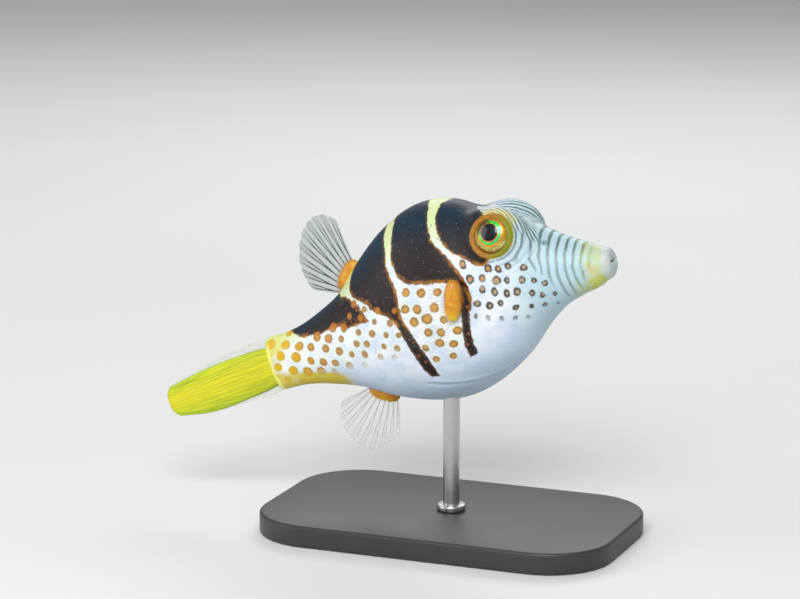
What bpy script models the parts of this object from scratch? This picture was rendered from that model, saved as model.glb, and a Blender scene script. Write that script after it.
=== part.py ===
# A life-size still model of a small sharp-nosed pufferfish with dark saddles, swimming nose up,
# held over a flat display base by one rod under the belly.
#
# Lengths are in millimetres and angles in degrees until they are placed in the scene.
# The fish's own frame: x runs forward from the root of the tail fin, y to the fish's left, z up
# towards its back. The empty fish_pose carries that frame over the base and tilts the nose up.

import math

import bmesh
import bpy
import numpy as np
from mathutils import Matrix, Vector

MM = 0.001
GAP = 0.3

# Lengths along the body
HEAD_FROM = 45.7
TAIL_STEM_TO = 14.0
LIPS_FROM = 67.3
TAIL_FIN_LENGTH = 23.9

# Pose on the stand
NOSE_UP = 20.0
BELLY_REST_X = 31.0
BASE_SIZE = (66.0, 40.0, 4.0)
BASE_CORNER = 12.0
BASE_EDGE = 0.6
FISH_HEIGHT = 28.0
ROD_RADIUS = 1.5
ROD_SIDES = 20
ROD_INTO_BELLY = 5.0

# Side profile and width of the body, as (x, value) at the stations where the shape turns
BACK = [(0, 4.9), (6, 5.2), (12, 7.0), (17, 9.3), (22, 13.4), (29, 17.9), (38, 20.3), (43.5, 19.2),
        (48.5, 16.3), (53, 14.2), (57.8, 10.2), (61.5, 7.2), (65.3, 4.9), (67.3, 3.5)]
BELLY = [(0, -5.0), (5, -5.3), (10.3, -6.6), (16.2, -8.7), (21.5, -11.6), (27.5, -13.7),
         (34, -14.5), (40, -13.6), (44.5, -12.1), (48.5, -10.2), (54.5, -6.0), (57.8, -4.3),
         (61.5, -3.4), (65.3, -2.7), (67.3, -1.9)]
HALF_WIDTH = [(0, 1.9), (4, 2.6), (9, 3.7), (16, 6.0), (24, 9.0), (31, 10.8), (38, 11.2),
              (44, 10.3), (50, 8.5), (55, 6.8), (60, 5.0), (63.6, 3.8), (65.4, 3.2), (67.3, 2.6)]
WAIST = [(0, 0.0), (16, 0.2), (28, 0.8), (40, 1.4), (50, 2.0), (60, 1.5), (67.3, 0.8)]
BACK_ROUNDNESS = 1.9
BELLY_ROUNDNESS = 2.1

# Lips: forward reach of each ring and its share of the ring that the lips grow from, (x, y, z)
LIP_RINGS = [(67.7, 0.96, 0.94), (68.1, 0.87, 0.83), (68.35, 0.73, 0.64), (68.4, 0.62, 0.45),
             (68.2, 0.55, 0.28), (67.7, 0.51, 0.14), (66.6, 0.48, 0.10)]
UPPER_LIP_REACH = 0.25

# Eyes
EYE_X = 51.1
EYE_Y = 7.4
EYE_Z = 11.5
EYE_LOOKS_UP = 12.0
EYEBALL_RADIUS = 3.8
EYEBALL_DEPTH = 2.5
EYE_OPENING = 3.2
EYE_MOUND_AT = (50.3, 4.5, 10.7)
EYE_MOUND_HALF = (6.4, 3.5, 5.65)
EYE_MOUND_DIPS = 18.0
EYE_MOUND_TURNS_IN = 5.0
EYE_MOUND_BLEND = 1.6
BROW_HOLLOW_DEPTH = 0.5
BROW_HOLLOW_LENGTH = 5.0
BROW_HOLLOW_WIDTH = 3.0
MOUND_SEARCH = (0.9, 1.6, 71)
LID_RADIUS = 3.65
LID_THICKNESS = 0.55
LID_SINKS = 0.2
LID_SIDES = 6
LID_STEPS = 24

NOSTRIL = (58.6, 7.5)
NOSTRIL_RADIUS = 0.35
NOSTRIL_STRETCH = 2.2

# Belly keel, a low fold of skin along the middle line
KEEL_MIDDLE = 38.0
KEEL_LENGTH = 13.0
KEEL_DEPTH = 0.8
KEEL_WIDTH = 1.5

# Gill slit in front of the pectoral fin
GILL_SLIT = {"x": 44.6, "z": 2.8, "length": 5.6, "width": 0.5, "depth": 1.4,
             "bow_back": 0.7, "bow_in": 0.5, "cuts": 5}

# How finely the solids are cut
SPOKES = 44
HEAD_SPOKES = 60
EYE_SPOKE_CROWDING = 0.32
EYE_SPOKE_REACH = 0.75
HEAD_STEPS = 26
TRUNK_STEPS = 20
STEM_STEPS = 8

FIN_MEMBRANE = 0.5
FIN_RAY_RIDGE = 0.45
PECTORAL_RAY_RIDGE = 0.3
MEMBRANE_TAPER = 0.3
RIDGE_TAPER = 0.55
FIN_SCALLOP = 0.25

DORSAL_FIN = {
    "rays": 9, "rows": 6,
    "front": (21.2, 0.0, 13.0), "rear": (16.5, 0.0, 8.8), "root_depth": 1.2,
    "turn": [(0, 99), (0.5, 120), (1, 160)],
    "length": [(0, 8.6), (0.15, 11.2), (0.35, 12.4), (0.55, 11.8), (0.78, 9.4), (1, 5.6)],
    "lobe": {"at": (18.9, 0.0, 11.2), "half": (3.2, 1.3, 1.8), "slope": 42.0},
    "sway": 1.3,
}
ANAL_FIN = {
    "rays": 9, "rows": 6,
    "front": (21.2, 0.0, -11.4), "rear": (16.4, 0.0, -8.7), "root_depth": 1.2,
    "turn": [(0, -102), (0.5, -131), (1, -170)],
    "length": [(0, 6.6), (0.15, 8.6), (0.35, 10.8), (0.55, 11.0), (0.78, 9.4), (1, 6.0)],
    "lobe": {"at": (18.8, 0.0, -10.4), "half": (3.1, 1.25, 1.8), "slope": -30.0},
    "sway": -1.1,
}
PECTORAL_FIN = {
    "rays": 16, "rows": 5,
    "top": (42.6, 11.6, 5.0), "bottom": (40.9, 11.4, -0.4), "root_depth": 0.9,
    "spread": [(0, 44), (0.5, 2), (1, -40)],
    "length": [(0, 6.4), (0.25, 8.4), (0.5, 9.2), (0.75, 8.6), (1, 6.6)],
    "outward": 36.0,
    "curl": 1.0,
    "lobe": {"at": (42.0, 11.5, 2.4), "half": (1.5, 1.5, 3.5), "lean": 21.0},
}
TAIL_FIN = {
    "rays": 11, "rows": 10,
    "upper": [(0, 4.6), (0.1, 4.8), (0.36, 4.35), (0.63, 3.4), (0.85, 2.3), (1, 1.5)],
    "lower": [(0, -4.8), (0.1, -5.3), (0.43, -5.5), (0.76, -5.4), (1, -4.5)],
    "root_half": 1.5, "tip_half": 0.27, "edge_rounding": 0.75,
    "corner_cut": 1.5,
}

COLOURS = {
    "skin": (0.86, 0.90, 0.93), "saddle": (0.09, 0.06, 0.05), "yellow": (0.74, 0.80, 0.02),
    "fin": (0.45, 0.52, 0.50), "orange": (0.85, 0.45, 0.02), "eye": (0.05, 0.25, 0.12),
    "base": (0.16, 0.15, 0.14), "steel": (0.62, 0.62, 0.63),
}


def smooth_value(x, points):
    """The height at x of a smooth curve through the points, which are (x, value) in rising x."""
    xs = np.array([p[0] for p in points], float)
    ys = np.array([p[1] for p in points], float)
    slopes = np.gradient(ys, xs)
    x = np.clip(np.asarray(x, float), xs[0], xs[-1])
    i = np.clip(np.searchsorted(xs, x, side="right") - 1, 0, len(xs) - 2)
    span = xs[i + 1] - xs[i]
    t = (x - xs[i]) / span
    return ((2 * t**3 - 3 * t**2 + 1) * ys[i] + (t**3 - 2 * t**2 + t) * span * slopes[i]
            + (3 * t**2 - 2 * t**3) * ys[i + 1] + (t**3 - t**2) * span * slopes[i + 1])


def bell(distance, reach):
    return np.exp(-(np.asarray(distance, float) / reach) ** 2)


def skin_points(x, angle):
    """Points of the body's surface at x, where the angle runs from the left flank over the back."""
    x = np.broadcast_to(np.asarray(x, float), np.shape(angle)).copy()
    back, belly = smooth_value(x, BACK), smooth_value(x, BELLY)
    half, waist = smooth_value(x, HALF_WIDTH), smooth_value(x, WAIST)
    c, s = np.cos(angle), np.sin(angle)
    power = np.where(s >= 0, BACK_ROUNDNESS, BELLY_ROUNDNESS)
    high = np.where(s >= 0, back - waist, waist - belly)
    reach = (np.abs(c / half) ** power + np.abs(s / high) ** power) ** (-1 / power)

    hollow = BROW_HOLLOW_DEPTH * bell(x - EYE_X, BROW_HOLLOW_LENGTH) * bell(reach * c, BROW_HOLLOW_WIDTH)
    keel = KEEL_DEPTH * bell(x - KEEL_MIDDLE, KEEL_LENGTH) * bell(reach * c, KEEL_WIDTH)
    reach = reach + np.where(s > 0, -hollow, keel)
    reach = over_eye_mounds(x, waist, c, s, reach)
    return np.stack([x, reach * c, waist + reach * s], axis=-1)


def eye_mound_axes():
    """The directions of a mound's length, thickness and height, for the left eye, as columns."""
    lean = Matrix.Rotation(math.radians(EYE_LOOKS_UP), 3, "X")
    dip = Matrix.Rotation(math.radians(EYE_MOUND_DIPS), 3, "Y")
    turn = Matrix.Rotation(math.radians(-EYE_MOUND_TURNS_IN), 3, "Z")
    return np.array(lean @ dip @ turn)


def over_eye_mounds(x, waist, c, s, reach):
    """How far the skin reaches along each spoke, with a rounded mound that carries each eye.

    Each spoke is followed outwards until it leaves both the body and the mound, softly joined."""
    trial = reach[..., None] * np.linspace(*MOUND_SEARCH)
    place = np.stack([x[..., None] + 0 * trial, np.abs(trial * c[..., None]),
                      waist[..., None] + trial * s[..., None]], axis=-1)
    inside = (place - np.array(EYE_MOUND_AT)) @ eye_mound_axes() / np.array(EYE_MOUND_HALF)
    from_mound = (np.linalg.norm(inside, axis=-1) - 1) * min(EYE_MOUND_HALF)
    from_body = trial - reach[..., None]
    share = np.clip(0.5 + 0.5 * (from_body - from_mound) / EYE_MOUND_BLEND, 0, 1)
    joined = from_body + (from_mound - from_body) * share - EYE_MOUND_BLEND * share * (1 - share)
    steps = trial.shape[-1]
    last = steps - 1 - np.argmax(joined[..., ::-1] < 0, axis=-1)
    last = np.clip(last, 0, steps - 2)[..., None]
    near, far = np.take_along_axis(joined, last, -1), np.take_along_axis(joined, last + 1, -1)
    start, stop = np.take_along_axis(trial, last, -1), np.take_along_axis(trial, last + 1, -1)
    return (start + (stop - start) * near / (near - far))[..., 0]


def lip_points(ring, angle):
    """One ring of the lips, which shrink and turn inwards from the body's last ring."""
    reach, across, high = ring
    root = skin_points(LIPS_FROM, angle)
    middle = (root.max(axis=0) + root.min(axis=0)) / 2
    points = middle + (root - middle) * np.array([1.0, across, high])
    points[:, 0] = reach + UPPER_LIP_REACH * np.sin(angle) * high
    return points


def head_angles():
    """Spokes all round the head, closer together where they cross the eyes."""
    even = np.arange(HEAD_SPOKES) * 2 * math.pi / HEAD_SPOKES
    eye = math.atan2(EYE_Z - float(smooth_value(EYE_X, WAIST)), EYE_Y)
    for middle in (eye, math.pi - eye):
        away = (even - middle + math.pi) % (2 * math.pi) - math.pi
        even = even - EYE_SPOKE_CROWDING * away * bell(away, EYE_SPOKE_REACH)
    return even


def body_rings(x_from, x_to, steps, angle=None, lips=False):
    if angle is None:
        angle = np.arange(SPOKES) * 2 * math.pi / SPOKES
    rings = [skin_points(x, angle) for x in np.linspace(x_from, x_to, steps + 1)]
    if lips:
        rings += [lip_points(ring, angle) for ring in LIP_RINGS]
    return rings


def grown(rings, by):
    """The rings moved outwards by a distance, square to the surface that they span."""
    points = np.array(rings)
    along = np.gradient(points, axis=0)
    around = np.roll(points, -1, axis=1) - np.roll(points, 1, axis=1)
    normal = np.cross(around, along)
    normal /= np.maximum(np.linalg.norm(normal, axis=-1, keepdims=True), 1e-9)
    inwards = np.sum(normal * (points - points.mean(axis=1, keepdims=True)), axis=-1).mean() < 0
    return list(points + (-normal if inwards else normal) * by)


def new_object(name, bm):
    """A mesh object from the bmesh, with its faces turned outwards."""
    bmesh.ops.recalc_face_normals(bm, faces=bm.faces)
    mesh = bpy.data.meshes.new(name)
    bm.to_mesh(mesh)
    bm.free()
    obj = bpy.data.objects.new(name, mesh)
    bpy.context.scene.collection.objects.link(obj)
    return obj


def lofted(name, rings):
    """A closed body through the rings, in metres, with a flat fan of triangles over each end."""
    bm = bmesh.new()
    loops = []
    for ring in rings:
        verts = [bm.verts.new(Vector(p) * MM) for p in ring]
        loops.append([bm.edges.new((a, b)) for a, b in zip(verts, verts[1:] + verts[:1])])
    for first, second in zip(loops, loops[1:]):
        bmesh.ops.bridge_loops(bm, edges=first + second)
    for end in (loops[0], loops[-1]):
        cap = bmesh.ops.contextual_create(bm, geom=end)["faces"]
        bmesh.ops.poke(bm, faces=cap)
    bmesh.ops.triangulate(bm, faces=bm.faces, quad_method="SHORT_EDGE")
    return new_object(name, bm)


def ellipsoid(name, at, half, turn=None, segments=20, rings=12):
    bm = bmesh.new()
    bmesh.ops.create_uvsphere(bm, u_segments=segments, v_segments=rings, radius=1.0)
    place = Matrix.Translation(Vector(at) * MM) @ (turn or Matrix.Identity(4))
    size = Matrix.Diagonal((half[0] * MM, half[1] * MM, half[2] * MM, 1.0))
    bmesh.ops.transform(bm, matrix=place @ size, verts=bm.verts)
    bmesh.ops.triangulate(bm, faces=bm.faces)
    return new_object(name, bm)


def applied(obj):
    """Turns the object's modifiers into its mesh."""
    graph = bpy.context.evaluated_depsgraph_get()
    mesh = bpy.data.meshes.new_from_object(obj.evaluated_get(graph))
    obj.modifiers.clear()
    old, obj.data = obj.data, mesh
    bpy.data.meshes.remove(old)
    return obj


def keep_largest(obj):
    """Leaves only the closed surface with the most volume, without scraps of a cut or join."""
    bm = bmesh.new()
    bm.from_mesh(obj.data)
    left, parts = set(bm.faces), []
    while left:
        part, edge = set(), [left.pop()]
        while edge:
            face = edge.pop()
            part.add(face)
            near = {f for e in face.edges for f in e.link_faces} & left
            left -= near
            edge += near
        parts.append(part)
    size = [abs(sum(f.calc_center_median().dot(f.normal) * f.calc_area() for f in p)) for p in parts]
    for part, volume in zip(parts, size):
        if volume < max(size):
            bmesh.ops.delete(bm, geom=list(part), context="FACES")
    bmesh.ops.dissolve_degenerate(bm, dist=1e-6, edges=bm.edges)
    bmesh.ops.triangulate(bm, faces=bm.faces)
    bm.to_mesh(obj.data)
    bm.free()
    return obj


def joined_or_cut(obj, others, operation):
    """Joins the other closed objects to this one, or cuts them from it, and removes them."""
    group = bpy.data.collections.new(obj.name + "_pieces")
    for other in others:
        group.objects.link(other)
    boolean = obj.modifiers.new(operation.lower(), "BOOLEAN")
    boolean.operation = operation
    boolean.operand_type = "COLLECTION"
    boolean.collection = group
    applied(obj)
    for other in others:
        bpy.data.objects.remove(other)
    bpy.data.collections.remove(group)
    return keep_largest(obj)


def grown_body():
    """The whole body, larger by the gap all round, which the fins and the rod are cut with."""
    steps = HEAD_STEPS + TRUNK_STEPS + STEM_STEPS
    return lofted("grown_body", grown(body_rings(0, LIPS_FROM, steps, lips=True), GAP))


def eye_turn(side):
    """Turns an eye's own z axis to where the eye looks, out to its side and a little up."""
    up = math.radians(EYE_LOOKS_UP)
    looks = Vector((0.0, side * math.cos(up), math.sin(up)))
    return looks.to_track_quat("Z", "X").to_matrix().to_4x4()


def eyeball_centre(side):
    """The eyeball's middle, as far inside its opening as its own shape needs to fill it."""
    depth = EYEBALL_DEPTH * math.sqrt(1 - (EYE_OPENING / EYEBALL_RADIUS) ** 2)
    inward = eye_turn(side) @ Vector((0.0, 0.0, -depth))
    return Vector((EYE_X, side * EYE_Y, EYE_Z)) + inward.to_3d()


def eyeball(name, side, larger=0.0):
    half = (EYEBALL_RADIUS + larger, EYEBALL_RADIUS + larger, EYEBALL_DEPTH + larger)
    return ellipsoid(name, eyeball_centre(side), half, eye_turn(side), 18, 12)


def eyelid(side, body):
    """The raised round fold of skin that frames an eye, following the body's surface round it."""
    bm = bmesh.new()
    circle = bmesh.ops.create_circle(bm, segments=LID_SIDES, radius=LID_THICKNESS * MM)["verts"]
    stand_up = Matrix.Translation((LID_RADIUS * MM, 0, 0)) @ Matrix.Rotation(math.pi / 2, 4, "X")
    bmesh.ops.transform(bm, matrix=stand_up, verts=circle)
    bmesh.ops.spin(bm, geom=bm.verts[:] + bm.edges[:], axis=(0, 0, 1), cent=(0, 0, 0),
                   angle=2 * math.pi, steps=LID_STEPS, use_merge=True)
    bmesh.ops.remove_doubles(bm, verts=bm.verts, dist=1e-6)
    place = Matrix.Translation(Vector((EYE_X, side * EYE_Y, EYE_Z)) * MM) @ eye_turn(side)
    inwards = place.to_3x3() @ Vector((0, 0, -1))
    for v in bm.verts:
        over = v.co.xy.normalized() * LID_RADIUS * MM
        start = place @ Vector((over.x, over.y, EYEBALL_RADIUS * 2 * MM))
        hit, spot, _, _ = body.ray_cast(start, inwards)
        if hit:
            v.co.z += (place.inverted() @ spot).z - LID_SINKS * MM
    bmesh.ops.transform(bm, matrix=place, verts=bm.verts)
    bmesh.ops.triangulate(bm, faces=bm.faces)
    return new_object("lid", bm)


def nostril_cutter(side):
    x, z = NOSTRIL
    flank = skin_points(x, np.linspace(0, math.pi / 2, 60))
    spot = flank[np.argmin(np.abs(flank[:, 2] - z))]
    at = (spot[0], side * spot[1], spot[2])
    half = (NOSTRIL_RADIUS, NOSTRIL_STRETCH * NOSTRIL_RADIUS, NOSTRIL_RADIUS)
    return ellipsoid("nostril", at, half, None, 8, 6)


def gill_cutter(side):
    """A thin bent blade that cuts the gill slit."""
    slit = GILL_SLIT
    bm = bmesh.new()
    bmesh.ops.create_cube(bm, size=1.0)
    upright = [e for e in bm.edges if abs((e.verts[0].co - e.verts[1].co).z) > 0.5]
    bmesh.ops.subdivide_edges(bm, edges=upright, cuts=slit["cuts"])
    flank = skin_points(slit["x"], np.linspace(-0.6, 0.9, 60))
    out = np.interp(slit["z"], flank[:, 2], flank[:, 1])
    for v in bm.verts:
        bow = (2 * v.co.z) ** 2
        x = slit["x"] + v.co.x * slit["width"] - slit["bow_back"] * bow
        y = side * (out + v.co.y * 2 * slit["depth"] - slit["bow_in"] * bow)
        v.co = Vector((x, y, slit["z"] + v.co.z * slit["length"])) * MM
    bmesh.ops.triangulate(bm, faces=bm.faces)
    return new_object("gill_slit", bm)


def fan(name, points, thickness):
    """A closed fin blade from rows of points on its middle surface, as thick as thickness says."""
    rows, columns = points.shape[:2]
    bm = bmesh.new()
    verts = [[bm.verts.new(Vector(points[r, c]) * MM) for c in range(columns)] for r in range(rows)]
    for r in range(rows - 1):
        for c in range(columns - 1):
            bm.faces.new((verts[r][c], verts[r][c + 1], verts[r + 1][c + 1], verts[r + 1][c]))
    bmesh.ops.triangulate(bm, faces=bm.faces, quad_method="FIXED")
    blade = new_object(name, bm)
    group = blade.vertex_groups.new(name="thickness")
    most = thickness.max()
    for i, value in enumerate(thickness.reshape(-1)):
        group.add([i], float(value / most), "REPLACE")
    solidify = blade.modifiers.new("thickness", "SOLIDIFY")
    solidify.thickness = most * MM
    solidify.offset = 0.0
    solidify.vertex_group = group.name
    applied(blade)
    bm = bmesh.new()
    bm.from_mesh(blade.data)
    bmesh.ops.recalc_face_normals(bm, faces=bm.faces)
    bmesh.ops.triangulate(bm, faces=bm.faces)
    bm.to_mesh(blade.data)
    bm.free()
    return blade


def ray_thickness(rays, rows, ridge, membrane=FIN_MEMBRANE):
    """Thick at each ray and thin between rays, thinner towards the tips."""
    columns = np.arange(2 * rays + 1)
    is_ray = (columns % 2 == 1).astype(float)
    out = np.linspace(0, 1, rows)[:, None]
    return membrane * (1 - MEMBRANE_TAPER * out) + ridge * is_ray[None, :] * (1 - RIDGE_TAPER * out)


def upright_fin(name, fin):
    """The dorsal or anal fin: a fan of rays in the body's middle plane on a fleshy lobe."""
    across = np.linspace(0, 1, 2 * fin["rays"] + 1)
    out = np.linspace(0, 1, fin["rows"])[:, None]
    turn = np.radians(smooth_value(across, fin["turn"]))
    heading = np.stack([np.cos(turn), np.zeros_like(turn), np.sin(turn)], axis=-1)
    root = np.array(fin["front"]) + across[:, None] * (np.array(fin["rear"]) - np.array(fin["front"]))
    root = root - heading * fin["root_depth"]
    scallop = FIN_SCALLOP * (np.arange(len(across)) % 2 == 0)
    length = smooth_value(across, fin["length"]) - scallop + fin["root_depth"]
    points = root[None] + heading[None] * (length[None, :] * out)[..., None]
    points[..., 1] += fin["sway"] * out**2
    blade = fan(name, points, ray_thickness(fin["rays"], fin["rows"], FIN_RAY_RIDGE))
    lobe = fin["lobe"]
    turn_up = Matrix.Rotation(math.radians(-lobe["slope"]), 4, "Y")
    joined_or_cut(blade, [ellipsoid("lobe", lobe["at"], lobe["half"], turn_up)], "UNION")
    return joined_or_cut(blade, [grown_body()], "DIFFERENCE")


def pectoral_fin(name, side):
    """A side fin: its rays fan backwards and outwards from an upright fleshy lobe."""
    fin = PECTORAL_FIN
    across = np.linspace(0, 1, 2 * fin["rays"] + 1)
    out = np.linspace(0, 1, fin["rows"])[:, None]
    spread = np.radians(smooth_value(across, fin["spread"]))
    outward = math.radians(fin["outward"])
    heading = np.stack([-np.cos(spread) * math.cos(outward), np.cos(spread) * math.sin(outward),
                        np.sin(spread)], axis=-1)
    top, bottom = np.array(fin["top"]), np.array(fin["bottom"])
    root = top + across[:, None] * (bottom - top) - heading * fin["root_depth"]
    scallop = FIN_SCALLOP * (np.arange(len(across)) % 2 == 0)
    length = smooth_value(across, fin["length"]) - scallop + fin["root_depth"]
    points = root[None] + heading[None] * (length[None, :] * out)[..., None]
    points[..., 1] += fin["curl"] * out**2
    points[..., 1] *= side
    blade = fan(name, points, ray_thickness(fin["rays"], fin["rows"], PECTORAL_RAY_RIDGE))
    lobe = fin["lobe"]
    lean = Matrix.Rotation(math.radians(lobe["lean"]), 4, "Y")
    x, y, z = lobe["at"]
    joined_or_cut(blade, [ellipsoid("lobe", (x, side * y, z), lobe["half"], lean)], "UNION")
    return joined_or_cut(blade, [grown_body()], "DIFFERENCE")


def tail_fin(name):
    """The folded, brush-like tail fin, thick at its root and thin at its end."""
    fin = TAIL_FIN
    across = np.linspace(0, 1, 2 * fin["rays"] + 1)
    out = np.linspace(0, 1, fin["rows"])[:, None]
    upper, lower = smooth_value(out, fin["upper"]), smooth_value(out, fin["lower"])
    corner = fin["corner_cut"] * np.abs(2 * across - 1) ** 3
    scallop = FIN_SCALLOP * (np.arange(len(across)) % 2 == 0)
    points = np.zeros((fin["rows"], len(across), 3))
    points[..., 0] = -GAP - out * (TAIL_FIN_LENGTH - GAP - corner - scallop)
    points[..., 2] = upper + across * (lower - upper)
    half = fin["root_half"] + (fin["tip_half"] - fin["root_half"]) * np.sqrt(out)
    is_ray = (np.arange(len(across)) % 2 == 1).astype(float)
    rounded = np.sqrt(1 - fin["edge_rounding"] * (2 * across - 1) ** 2)
    thickness = 2 * half * rounded + FIN_RAY_RIDGE * is_ray * (1 - RIDGE_TAPER * out)
    return fan(name, points, np.maximum(thickness, FIN_MEMBRANE))


def head():
    rings = body_rings(HEAD_FROM + GAP / 2, LIPS_FROM, HEAD_STEPS, head_angles(), lips=True)
    body = lofted("head", rings)
    joined_or_cut(body, [eyelid(side, body) for side in (-1, 1)], "UNION")
    cutters = [eyeball("socket", side, GAP) for side in (-1, 1)]
    cutters += [nostril_cutter(side) for side in (-1, 1)]
    return joined_or_cut(body, cutters, "DIFFERENCE")


def trunk():
    body = lofted("trunk", body_rings(TAIL_STEM_TO + GAP / 2, HEAD_FROM - GAP / 2, TRUNK_STEPS))
    return joined_or_cut(body, [gill_cutter(side) for side in (-1, 1)], "DIFFERENCE")


def tail_stem():
    return lofted("tail_stem", body_rings(0, TAIL_STEM_TO - GAP / 2, STEM_STEPS))


def stand_base():
    """A flat plate with round corners and a softened upper edge."""
    length, width, height = BASE_SIZE
    bm = bmesh.new()
    bmesh.ops.create_cube(bm, size=1.0)
    place = Matrix.Translation((0, 0, height * MM / 2)) @ Matrix.Diagonal(
        (length * MM, width * MM, height * MM, 1.0))
    bmesh.ops.transform(bm, matrix=place, verts=bm.verts)
    upright = [e for e in bm.edges if abs(e.verts[0].co.z - e.verts[1].co.z) > 1e-6]
    bmesh.ops.bevel(bm, geom=upright, offset=BASE_CORNER * MM, segments=8, profile=0.5, affect="EDGES")
    rim = [e for e in bm.edges if all(abs(v.co.z - height * MM) < 1e-7 for v in e.verts)]
    bmesh.ops.bevel(bm, geom=rim, offset=BASE_EDGE * MM, segments=2, profile=0.5, affect="EDGES")
    bmesh.ops.triangulate(bm, faces=bm.faces)
    return new_object("stand_base", bm)


def stand_rod(fish_frame):
    """The rod under the belly, its top cut to the belly's own shape."""
    foot = (BASE_SIZE[2] + GAP) * MM
    top = (FISH_HEIGHT + ROD_INTO_BELLY) * MM
    bm = bmesh.new()
    bmesh.ops.create_cone(bm, cap_ends=True, segments=ROD_SIDES, radius1=ROD_RADIUS * MM,
                          radius2=ROD_RADIUS * MM, depth=top - foot)
    bmesh.ops.translate(bm, verts=bm.verts, vec=(0, 0, (top + foot) / 2))
    bmesh.ops.triangulate(bm, faces=bm.faces)
    rod = new_object("stand_rod", bm)
    cutter = grown_body()
    cutter.data.transform(fish_frame)
    return joined_or_cut(rod, [cutter], "DIFFERENCE")


def finished(obj, colour, roughness=0.4, metallic=0.0):
    """Gives a node its colour, and smooth shading with its true edges kept."""
    material = bpy.data.materials.new(obj.name)
    material.use_nodes = True
    shader = material.node_tree.nodes["Principled BSDF"]
    shader.inputs["Base Color"].default_value = (*COLOURS[colour], 1.0)
    shader.inputs["Roughness"].default_value = roughness
    shader.inputs["Metallic"].default_value = metallic
    obj.data.materials.clear()
    obj.data.materials.append(material)
    obj.data.shade_smooth()
    obj.data.set_sharp_from_angle(angle=math.radians(40))
    return obj


def pose_matrix():
    """The fish's frame over the base: the belly's rest point stands over the middle of the base."""
    tilt = math.radians(NOSE_UP)
    belly = float(smooth_value(BELLY_REST_X, BELLY))
    over_base = BELLY_REST_X * math.cos(tilt) - belly * math.sin(tilt)
    return Matrix.Translation((-over_base * MM, 0, FISH_HEIGHT * MM)) @ Matrix.Rotation(-tilt, 4, "Y")


def main():
    for obj in list(bpy.data.objects):
        bpy.data.objects.remove(obj)
    fish_frame = pose_matrix()
    pose = bpy.data.objects.new("fish_pose", None)
    pose.matrix_world = fish_frame
    bpy.context.scene.collection.objects.link(pose)
    bpy.context.view_layer.update()

    fish = [
        finished(head(), "skin"),
        finished(trunk(), "saddle"),
        finished(tail_stem(), "skin"),
        finished(tail_fin("tail_fin"), "yellow"),
        finished(upright_fin("dorsal_fin", DORSAL_FIN), "fin"),
        finished(upright_fin("anal_fin", ANAL_FIN), "fin"),
    ]
    for side, word in ((-1, "right"), (1, "left")):
        fish.append(finished(pectoral_fin("pectoral_fin_" + word, side), "orange"))
        fish.append(finished(eyeball("eye_" + word, side), "eye", roughness=0.08))
    for obj in fish:
        obj.parent = pose
    finished(stand_base(), "base", roughness=0.5)
    finished(stand_rod(fish_frame), "steel", roughness=0.25, metallic=1.0)


main()
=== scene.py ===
import math

import bpy
import numpy as np
from mathutils import Matrix, Vector
from mathutils.bvhtree import BVHTree
from mathutils.kdtree import KDTree


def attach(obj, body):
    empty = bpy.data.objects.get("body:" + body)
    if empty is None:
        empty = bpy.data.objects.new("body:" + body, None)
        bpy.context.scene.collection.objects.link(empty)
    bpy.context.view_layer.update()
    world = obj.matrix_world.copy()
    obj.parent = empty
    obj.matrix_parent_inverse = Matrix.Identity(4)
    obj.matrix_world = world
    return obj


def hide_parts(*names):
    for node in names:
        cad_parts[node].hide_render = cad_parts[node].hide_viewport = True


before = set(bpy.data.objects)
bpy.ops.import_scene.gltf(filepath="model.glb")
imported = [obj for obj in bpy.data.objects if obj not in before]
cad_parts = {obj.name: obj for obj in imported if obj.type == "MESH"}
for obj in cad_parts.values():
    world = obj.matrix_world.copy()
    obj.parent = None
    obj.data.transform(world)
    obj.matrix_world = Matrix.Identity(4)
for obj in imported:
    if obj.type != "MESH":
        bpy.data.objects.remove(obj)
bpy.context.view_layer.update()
print("frame loaded:", len(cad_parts), "nodes")

mm = 0.001
rng = np.random.default_rng(7)

# The fish's own frame is in millimetres: x forward from the root of the tail fin, y to its left,
# z up towards its back. Angles on the body run from 0 on the flank to 90 on the back.
stance = {"noseUp": 20.0, "height": 28.0, "bellyX": 31.0}

body = {
    "back": [(0, 4.9), (6, 5.2), (12, 7.0), (17, 9.3), (22, 13.4), (29, 17.9), (38, 20.3), (43.5, 19.2),
             (48.5, 16.3), (53, 14.2), (57.8, 10.2), (61.5, 7.2), (65.3, 4.9), (67.3, 3.5)],
    "belly": [(0, -5.0), (5, -5.3), (10.3, -6.6), (16.2, -8.7), (21.5, -11.6), (27.5, -13.7),
              (34, -14.5), (40, -13.6), (44.5, -12.1), (48.5, -10.2), (54.5, -6.0), (57.8, -4.3),
              (61.5, -3.4), (65.3, -2.7), (67.3, -1.9)],
    "half": [(0, 1.9), (4, 2.6), (9, 3.7), (16, 6.0), (24, 9.0), (31, 10.8), (38, 11.2),
             (44, 10.3), (50, 8.5), (55, 6.8), (60, 5.0), (63.6, 3.8), (65.4, 3.2), (67.3, 2.6)],
    "waist": [(0, 0.0), (16, 0.2), (28, 0.8), (40, 1.4), (50, 2.0), (60, 1.5), (67.3, 0.8)],
    "backRoundness": 1.9, "bellyRoundness": 2.1,
    "keelMiddle": 38.0, "keelLength": 13.0, "keelDepth": 0.8, "keelWidth": 1.5,
    "lipsFrom": 67.3, "upperLipReach": 0.25,
    # forward reach of each lip ring and its share of the ring that the lips grow from
    "lips": [(67.3, 1.0, 1.0), (67.7, 0.96, 0.94), (68.1, 0.87, 0.83), (68.35, 0.73, 0.62),
             (68.4, 0.63, 0.38), (68.2, 0.58, 0.16), (67.7, 0.54, 0.05), (66.6, 0.5, 0.02)],
}
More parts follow.
